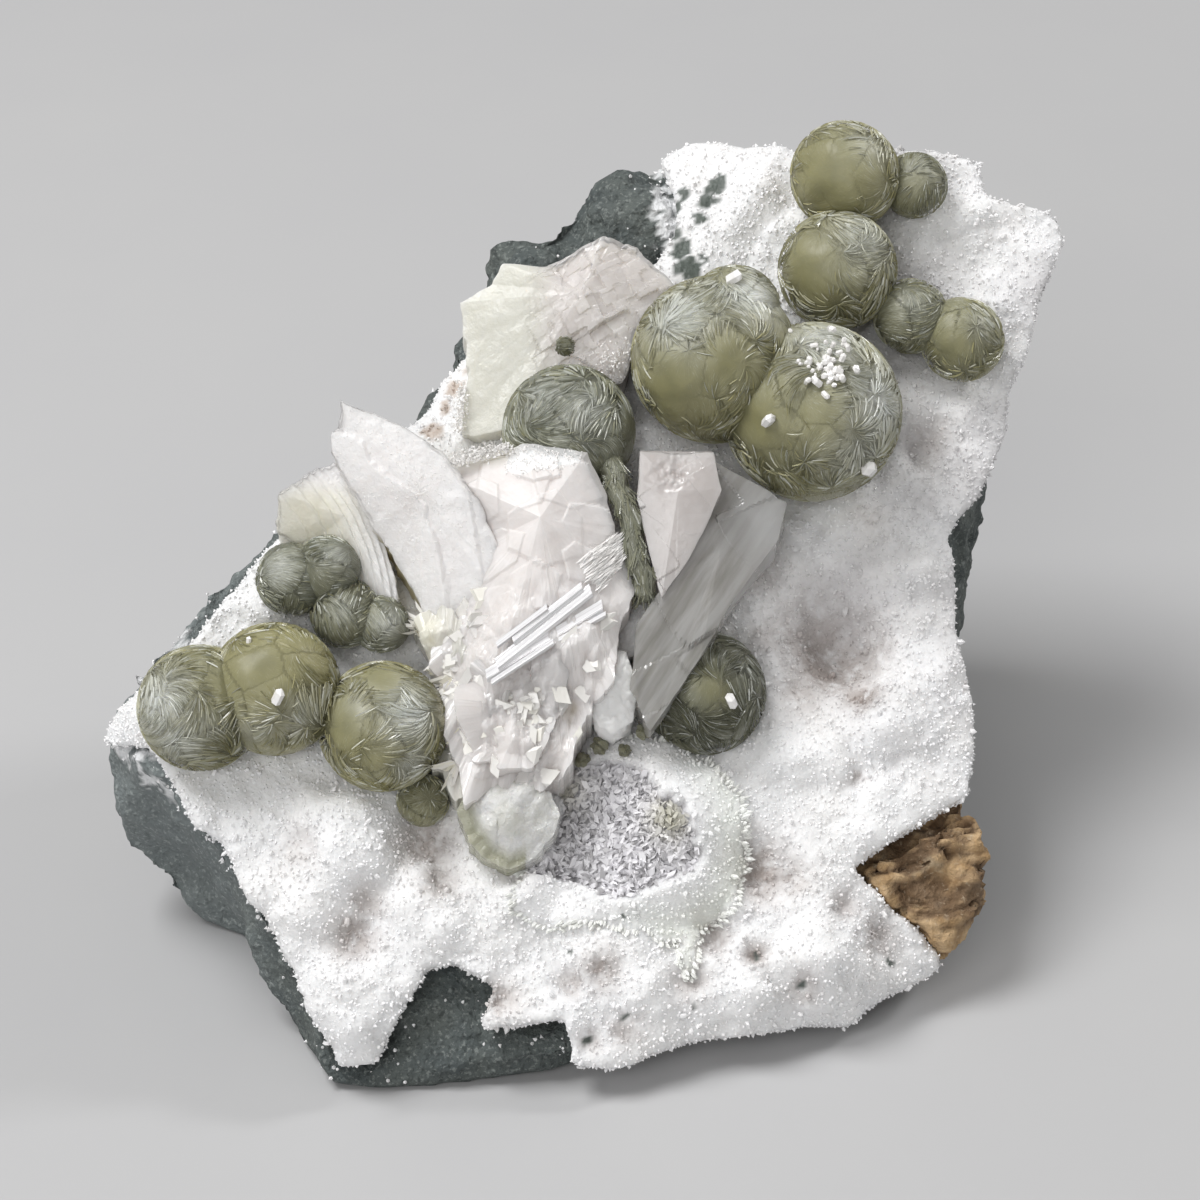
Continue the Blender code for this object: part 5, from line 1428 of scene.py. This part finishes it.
LENS = [
    (-12.0, 23.6, 10.2, 7.2), (-11.2, 21.0, 9.2, 6.8), (-9.6, 19.2, 8.5, 6.4), (-7.9, 18.4, 8.2, 6.2),
    (-6.2, 18.9, 8.5, 6.2), (-4.8, 20.6, 9.0, 6.4), (-4.0, 23.0, 10.0, 6.8), (-4.8, 25.4, 11.0, 7.4),
    (-8.0, 26.0, 11.2, 7.4), (-11.0, 25.4, 10.8, 7.4),
]


def domed(places, face):
    """A dome over the broken face, with the steps of the break in it."""
    far = np.hypot((face[:, 0] + 8.0) / 4.0, (face[:, 1] - 22.2) / 3.8)
    return (0.2 - 1.1 * far**3 + rhomb_corners(face, 2.2, 151, 0.35) + rhomb_corners(face, 0.9, 153, 0.35)
            + 0.08 * cloud(places, 1.0, 152, 3) - 0.4)


lens = slab("gyrolite_broken_lens_glass", LENS, (-8.0, 22.2, 10.4), domed, 0.05, 10, (150, 40, 14, 5))
lens_face = to_face(points_of(lens)[0])
mark(lens, "rim", smooth_step(1.2, 0.1, inside_outline(lens_face[:, :2], np.array(LENS)[:, :2])) * (lens_face[:, 0] < -6.5))
dress(lens, lens_glass, "gyrolite", "gyrolite_broken_lens")

fan = slab("calcite_fan_plate", FAN_PLATE, (-15.6, 49.0, 20.0), shells, 0.09, 1, (230, 80, 20, 6), True)
fan_face = to_face(points_of(fan)[0])
fan_low = 20.5 - 0.42 * (57.0 - fan_face[:, 1]) - fan_face[:, 2]
# Painted shade in the low trough at the fan's lower left.
mark(fan, "recess_painted_shade", smooth_step(0.6, 2.2, fan_low) * smooth_step(-12.0, -15.0, fan_face[:, 0]) * 0.9)
dress(fan, milky, "calcite", "calcite_main_group")
left = slab("calcite_left_plate", LEFT_PLATE, (-22.6, 48.2, 16.6), small_shells, 0.1, 2, smooth=True)
left_face = to_face(points_of(left)[0])
mark(left, "yellow", 0.6 * smooth_step(-18.0, -25.0, left_face[:, 0]) * smooth_step(52.0, 49.0, left_face[:, 1]))
dress(left, milky, "calcite")
mass = slab("calcite_centre_mass", CENTRE_MASS, (-5.2, 46.2, 22.0), jumble, 0.06, 3, (300, 90, 24, 6))
mass_points, mass_out = points_of(mass)
mass_face = to_face(mass_points)
RIDGE_DRUSE = np.array([(-8.6, 50.6), (-7.4, 53.6), (-4.4, 54.6), (-1.4, 54.4), (-1.9, 51.6), (-4.8, 50.6)])
FIBROUS_PATCH = np.array([(-1.9, 43.0), (1.3, 45.9), (2.4, 44.6), (0.0, 41.0)])
wander = cloud(mass_face, 1.0, 104, 3)[:, None] * 0.35
in_druse = inside_outline(mass_face[:, :2] + wander, RIDGE_DRUSE)
in_fibres = inside_outline(mass_face[:, :2] + wander, FIBROUS_PATCH)
mark(mass, "snow", smooth_step(-0.1, 0.3, np.maximum(in_druse, in_fibres)))
mark(mass, "yellow", 0.5 * smooth_step(51.0, 53.0, mass_face[:, 1]) * smooth_step(-6.0, -9.0, mass_face[:, 0]))
mass_low = smooth_step(44.0, 35.0, mass_face[:, 1])
# Painted shade in the low folds of the mass.
mark(mass, "recess_painted_shade", 0.45 * mass_low * smooth_step(-0.1, -1.1, folds(mass_face)))
mark(mass, "glaze", mass_low)
dress(mass, pinkish, "calcite")
low_blade = slab("calcite_low_blade", LOW_BLADE, None, jumble, 0.1, 4, (150, 36, 10, 4))
mark(low_blade, "glaze", np.ones(len(low_blade.data.vertices)))
dress(low_blade, pinkish, "calcite")
left_jumble = slab("calcite_left_jumble", LEFT_JUMBLE, None, coarse_jumble, 0.2, 11, (190, 40, 14, 4))
mark(left_jumble, "yellow", 0.5 * (0.5 + 0.5 * cloud(points_of(left_jumble)[0], 2.0, 163, 2)))
dress(left_jumble, glazed, "calcite")
dress(slab("calcite_tablet", TABLET, (6.9, 49.6, 19.4), tablet_steps, 0.03, 5), rosy, "calcite")
grey_blade = slab("calcite_grey_blade", GREY_BLADE, (10.6, 45.2, 16.0), blade_steps, 0.03, 6)
blade_face = to_face(points_of(grey_blade)[0]) - (9.6, 42.0, 14.0)
mark(grey_blade, "along", blade_face @ (0.55, 0.83, 0.0))
mark(grey_blade, "beside", blade_face @ (0.83, -0.55, 0.0))
clouded = np.exp(-((blade_face[:, 0] - 5.4) ** 2 / 9.0 + (blade_face[:, 1] - 6.2) ** 2 / 16.0))
mark(grey_blade, "clouded", clouded)
dress(grey_blade, smoky, "calcite")
dress(slab("calcite_cream_piece", CREAM_PIECE, (1.0, 33.0, 14.6), porcelain, 0.1, 7, (130, 30, 14, 4), True),
      cream, "calcite")
dress(slab("calcite_foot", CALCITE_FOOT, None, porcelain, 0.04, 8, (160, 40, 12, 4)), milky, "calcite")
back_finish = Finish("calcite_back")
to_peak = back_finish.marked("peak")
back_colour = back_finish.mix(to_peak, (0.64, 0.635, 0.575), (0.64, 0.605, 0.585))
back_finish.shade(
    back_finish.mix(back_finish.specks(2.0, 4.0).over(0.5, 0.8) * 0.4, back_colour, (0.78, 0.77, 0.72)),
    0.30 - to_peak * 0.18, back_finish.bump(back_finish.specks(0.4, 4.0), 0.08),
    Subsurface_Weight=0.7, Subsurface_Radius=(1.0, 0.95, 0.85), Subsurface_Scale=0.003)
back_plate = slab("calcite_back_plate_cream", BACK_PLATE, (-1.6, 69.6, 17.6), back_steps, 0.05, 9, (240, 70, 20, 6))
mark(back_plate, "peak", smooth_step(-7.5, -3.0, to_face(points_of(back_plate)[0])[:, 0]))
dress(back_plate, back_finish, "calcite", "calcite_back_plate")

# %% [markdown]
# ## Blades, rhombs and sugar on the calcite
#
# Bright striped blades cross the middle. Below them the calcite is a heap of small cleavage pieces,
# and its upper edges carry a sugar of fine points. Each kind is one small shape set down many times.

# %% Small calcite
def scattered(name, shape, places, axes, sizes, finish, slot, smooth=False, tint=0.0):
    points, triangles = copies(shape, places, axes, sizes)
    made = surface(name, points, triangles, smooth=smooth)
    mark(made, "yellow", np.repeat(np.random.RandomState(len(places)).uniform(0, 1, len(places)) ** 3 * tint, len(shape[0])))
    return dress(made, finish, slot)


def turned_like(base, count, rng, spread):
    """Copies of three unit rows, each turned a little its own way."""
    leaning = base[None] + rng.normal(size=(count, 3, 3)) * spread
    first = leaning[:, 0] / np.linalg.norm(leaning[:, 0], axis=1)[:, None]
    third = np.cross(first, leaning[:, 1])
    third /= np.linalg.norm(third, axis=1)[:, None]
    return np.stack([first, np.cross(third, first), third], axis=1)


rng = np.random.RandomState(8)
face_axes = np.stack([RIGHT, UP_SLOPE, OUT])
climb = np.array([0.80, 0.55, 0.24])
climb /= np.linalg.norm(climb)
blade_base = np.stack([climb, np.cross([0, 0, 1.0], climb), np.array([0, 0, 1.0])]) @ face_axes
MASS_TOP = np.flatnonzero(mass_out @ OUT > 0.3)


def height_on_mass(spots):
    """The height of the centre mass at each u, v, read from the nearest point of its mesh."""
    away = np.linalg.norm(mass_face[MASS_TOP, None, :2] - spots[None], axis=2)
    return mass_face[MASS_TOP][away.argmin(axis=0), 2]


BLADES = np.array([
    (-9.9, 33.2, 0.2, 39.5, 1.1, 0.9), (-9.0, 34.1, -0.8, 40.7, 1.2, 0.8), (-7.6, 36.1, -1.6, 40.9, 0.7, 0.7),
    (-9.4, 32.6, -4.0, 35.9, 0.5, 0.6), (-5.6, 35.1, 0.5, 38.7, 0.45, 0.7), (-9.0, 35.6, -4.6, 38.9, 0.6, 0.5),
])
tips = np.array([np.column_stack([BLADES[:, k:k + 2], height_on_mass(BLADES[:, k:k + 2]) + 0.75]) for k in (0, 2)])
blade_ways = tips[1] - tips[0]
blade_long = np.linalg.norm(blade_ways, axis=1)
blade_ways /= blade_long[:, None]
blade_beside = np.cross([0, 0, 1.0], blade_ways)
blade_beside /= np.linalg.norm(blade_beside, axis=1)[:, None]
blade_axes = np.stack([blade_ways, blade_beside, np.cross(blade_ways, blade_beside)], axis=1) @ face_axes
blade_points, blade_triangles = copies(lath(), to_room(tips.mean(axis=0)), blade_axes,
                                       np.column_stack([blade_long, BLADES[:, 4], BLADES[:, 5]]))
blades = surface("calcite_striped_blades", blade_points, blade_triangles, smooth=False)
mark(blades, "stripe", (lath()[0][:, 1] * BLADES[:, 4:5] + np.arange(len(BLADES))[:, None] * 5.0).ravel())
striped = Finish("calcite_striped")
stripe = striped.node("TexNoise", {}, {"Vector": striped.node("CombineXYZ", {}, {"X": striped.marked("stripe")}),
                                       "Scale": 4.5, "Detail": 2.0}, 0)
striped.shade(striped.mix(stripe.over(0.42, 0.56), (0.66, 0.645, 0.66), (0.95, 0.95, 0.96)), 0.07,
              striped.bump(stripe, 0.08), Coat_Weight=0.5)
dress(blades, striped, "calcite")


heap_from = [points_of(piece) for piece in (mass, low_blade, left_jumble)]
heap_points = np.vstack([points for points, _ in heap_from])
heap_out = np.vstack([ways for _, ways in heap_from])
heap_face = to_face(heap_points)
below_blades = heap_face[:, 1] < 32.6 + 0.63 * (heap_face[:, 0] + 9.8)
at_left = (heap_face[:, 0] < -9.4) & (heap_face[:, 1] < 41.0)
heap_ground = np.flatnonzero((below_blades | at_left) & (heap_out @ OUT > 0.1) & (heap_face[:, 2] > 8.5))
heap = rng.choice(heap_ground, 120)
clear_one = rng.uniform(0, 1, len(heap)) < 0.25
for name, some, finish in (("calcite_heap_white", ~clear_one, glazed_pieces), ("calcite_heap_clear", clear_one, glassy)):
    chosen = heap[some]
    downhill = np.repeat((OUT - 0.33 * UP_SLOPE - 0.12 * RIGHT)[None], len(chosen), axis=0)
    scattered(name, rhomb(), heap_points[chosen] - OUT * 0.1, axes_along(downhill, rng, 0.16),
              rng.uniform(0.4, 1.2, (len(chosen), 3)) * (1.6, 1.2, 0.5), finish, "calcite", tint=0.25)

# %% [markdown]
# At the left of the heap the calcite also spreads in little books of leaves, which stand on edge and
# open towards the balls. Each row gives a book's foot and the way it opens, in degrees.

# %% Books of thin leaves
BOOKS = [
    (-14.8, 39.0, 12.6, 165), (-12.8, 34.6, 12.6, 205), (-12.0, 30.0, 12.2, 190), (-12.4, 27.0, 10.8, 225),
    (-9.8, 30.4, 13.0, 245),
]
PAGES = 8
feet = np.repeat(np.array(BOOKS, float), PAGES, axis=0)
page_angle = np.radians(feet[:, 3] + np.tile(np.linspace(-34, 34, PAGES), len(BOOKS)) + rng.normal(size=len(feet)) * 7)
page_ways = np.stack([np.cos(page_angle), np.sin(page_angle), rng.uniform(-0.25, 0.1, len(feet))], axis=-1)
page_ways /= np.linalg.norm(page_ways, axis=1)[:, None]
page_beside = np.cross(page_ways, np.array([0, 0, 1.0]) + rng.normal(size=(len(feet), 3)) * 0.15)
page_beside /= np.linalg.norm(page_beside, axis=1)[:, None]
page_axes = np.stack([page_ways, np.cross(page_beside, page_ways), page_beside], axis=1) @ face_axes
page_long = rng.uniform(1.0, 2.6, len(feet))
page_places = feet[:, :3] + page_ways * page_long[:, None] * 0.42 + rng.normal(size=(len(feet), 3)) * 0.08
scattered("calcite_books", rhomb(), to_room(page_places), page_axes,
          np.column_stack([page_long, rng.uniform(0.9, 1.6, len(feet)), rng.uniform(0.14, 0.4, len(feet))]),
          glazed_pieces, "calcite", tint=0.9)

# %% Sugar on the calcite edges
def along_line(start, end, count, width):
    """Random places along a line, spread to the sides."""
    share = rng.uniform(0, 1, count)[:, None]
    return np.array(start) + share * (np.array(end) - np.array(start)) + rng.normal(size=(count, 3)) * width


sugar_lines = np.vstack([
    along_line((-13.0, 52.2, 19.6), (-8.0, 53.0, 20.9), 420, (0.5, 0.3, 0.2)),
    along_line((-12.5, 62.0, 13.8), (-12.6, 58.0, 12.8), 160, (0.3, 0.4, 0.2)),
    along_line((-1.0, 62.2, 15.6), (3.4, 65.0, 16.0), 110, (0.9, 0.7, 0.12)),
])
wide = rng.uniform(0.12, 0.28, len(sugar_lines))
scattered("calcite_edge_sugar", stub_with_point(), to_room(sugar_lines),
          axes_along(np.repeat(OUT[None], len(sugar_lines), axis=0), rng, 0.5),
          np.column_stack([wide, wide, wide * 1.1]), sugary, "calcite")

# %% [markdown]
# The ridge of the centre mass carries a patch of snow-white druse, and a patch of white fibres lies
# at its right. Both stand on the mesh of the mass itself, along its outward ways.

# %% Druse and fibres on the centre mass
upwards = mass_out @ OUT > 0.3
druse_spots = rng.choice(np.flatnonzero((in_druse > -0.1) & upwards), 350)
wide = rng.uniform(0.10, 0.22, len(druse_spots))
scattered("calcite_ridge_druse", stub_with_point(),
          mass_points[druse_spots] + rng.uniform(-0.12, 0.12, (len(druse_spots), 3)),
          axes_along(mass_out[druse_spots], rng, 0.5), np.column_stack([wide, wide, wide]), sugary, "calcite")
fibre_spots = rng.choice(np.flatnonzero((in_fibres > -0.1) & upwards), 420)
fibre_long = rng.uniform(0.5, 1.4, len(fibre_spots))
scattered("calcite_fibres", rhomb(), mass_points[fibre_spots] + OUT * rng.uniform(-0.04, 0.05, (len(fibre_spots), 1)),
          turned_like(blade_base, len(fibre_spots), rng, 0.08),
          np.column_stack([fibre_long, rng.uniform(0.06, 0.12, len(fibre_spots)), fibre_long * 0.05 + 0.05]),
          sugary, "calcite")

# %% [markdown]
# A dust of the finest crystals makes the fan plate sparkle.

# %% Dust on the fan
fan_points, fan_out = points_of(fan)
dust_spots = rng.choice(np.flatnonzero(fan_out @ OUT > 0.5), 1100)
wide = rng.uniform(0.06, 0.15, len(dust_spots))
scattered("calcite_fan_dust", stub_with_point(), fan_points[dust_spots], axes_along(fan_out[dust_spots], rng, 0.6),
          np.column_stack([wide, wide, wide]), sugary, "calcite")

# %% [markdown]
# ## White crystals on the balls
#
# A few single crystals sit on the gyrolite, and one small heap of them on the right-hand ball.

# %% Crystals on the balls
SINGLE_CRYSTALS = [
    (-27.9, 30.5, 18.5, 1.1), (14.8, 55.8, 20.0, 1.1), (11.8, 69.0, 21.4, 1.2), (11.6, 32.3, 12.2, 1.1),
    (24.0, 53.0, 15.6, 1.5), (-30.6, 36.0, 17.8, 0.5), (17.0, 64.5, 19.8, 0.5),
]
singles = np.array(SINGLE_CRYSTALS)
cluster = np.array([19.9, 60.5, 21.9]) + rng.normal(size=(60, 3)) * (0.9, 1.2, 0.12)
all_places = np.vstack([singles[:, :3], cluster])
all_sizes = np.concatenate([singles[:, 3], rng.uniform(0.25, 0.8, 60)])
scattered("calcite_on_balls", prism_with_point(0.35), to_room(all_places),
          axes_along(np.repeat(OUT[None], len(all_places), axis=0), rng, 0.5),
          np.column_stack([all_sizes, all_sizes * 0.8, all_sizes]), sugary, "calcite")
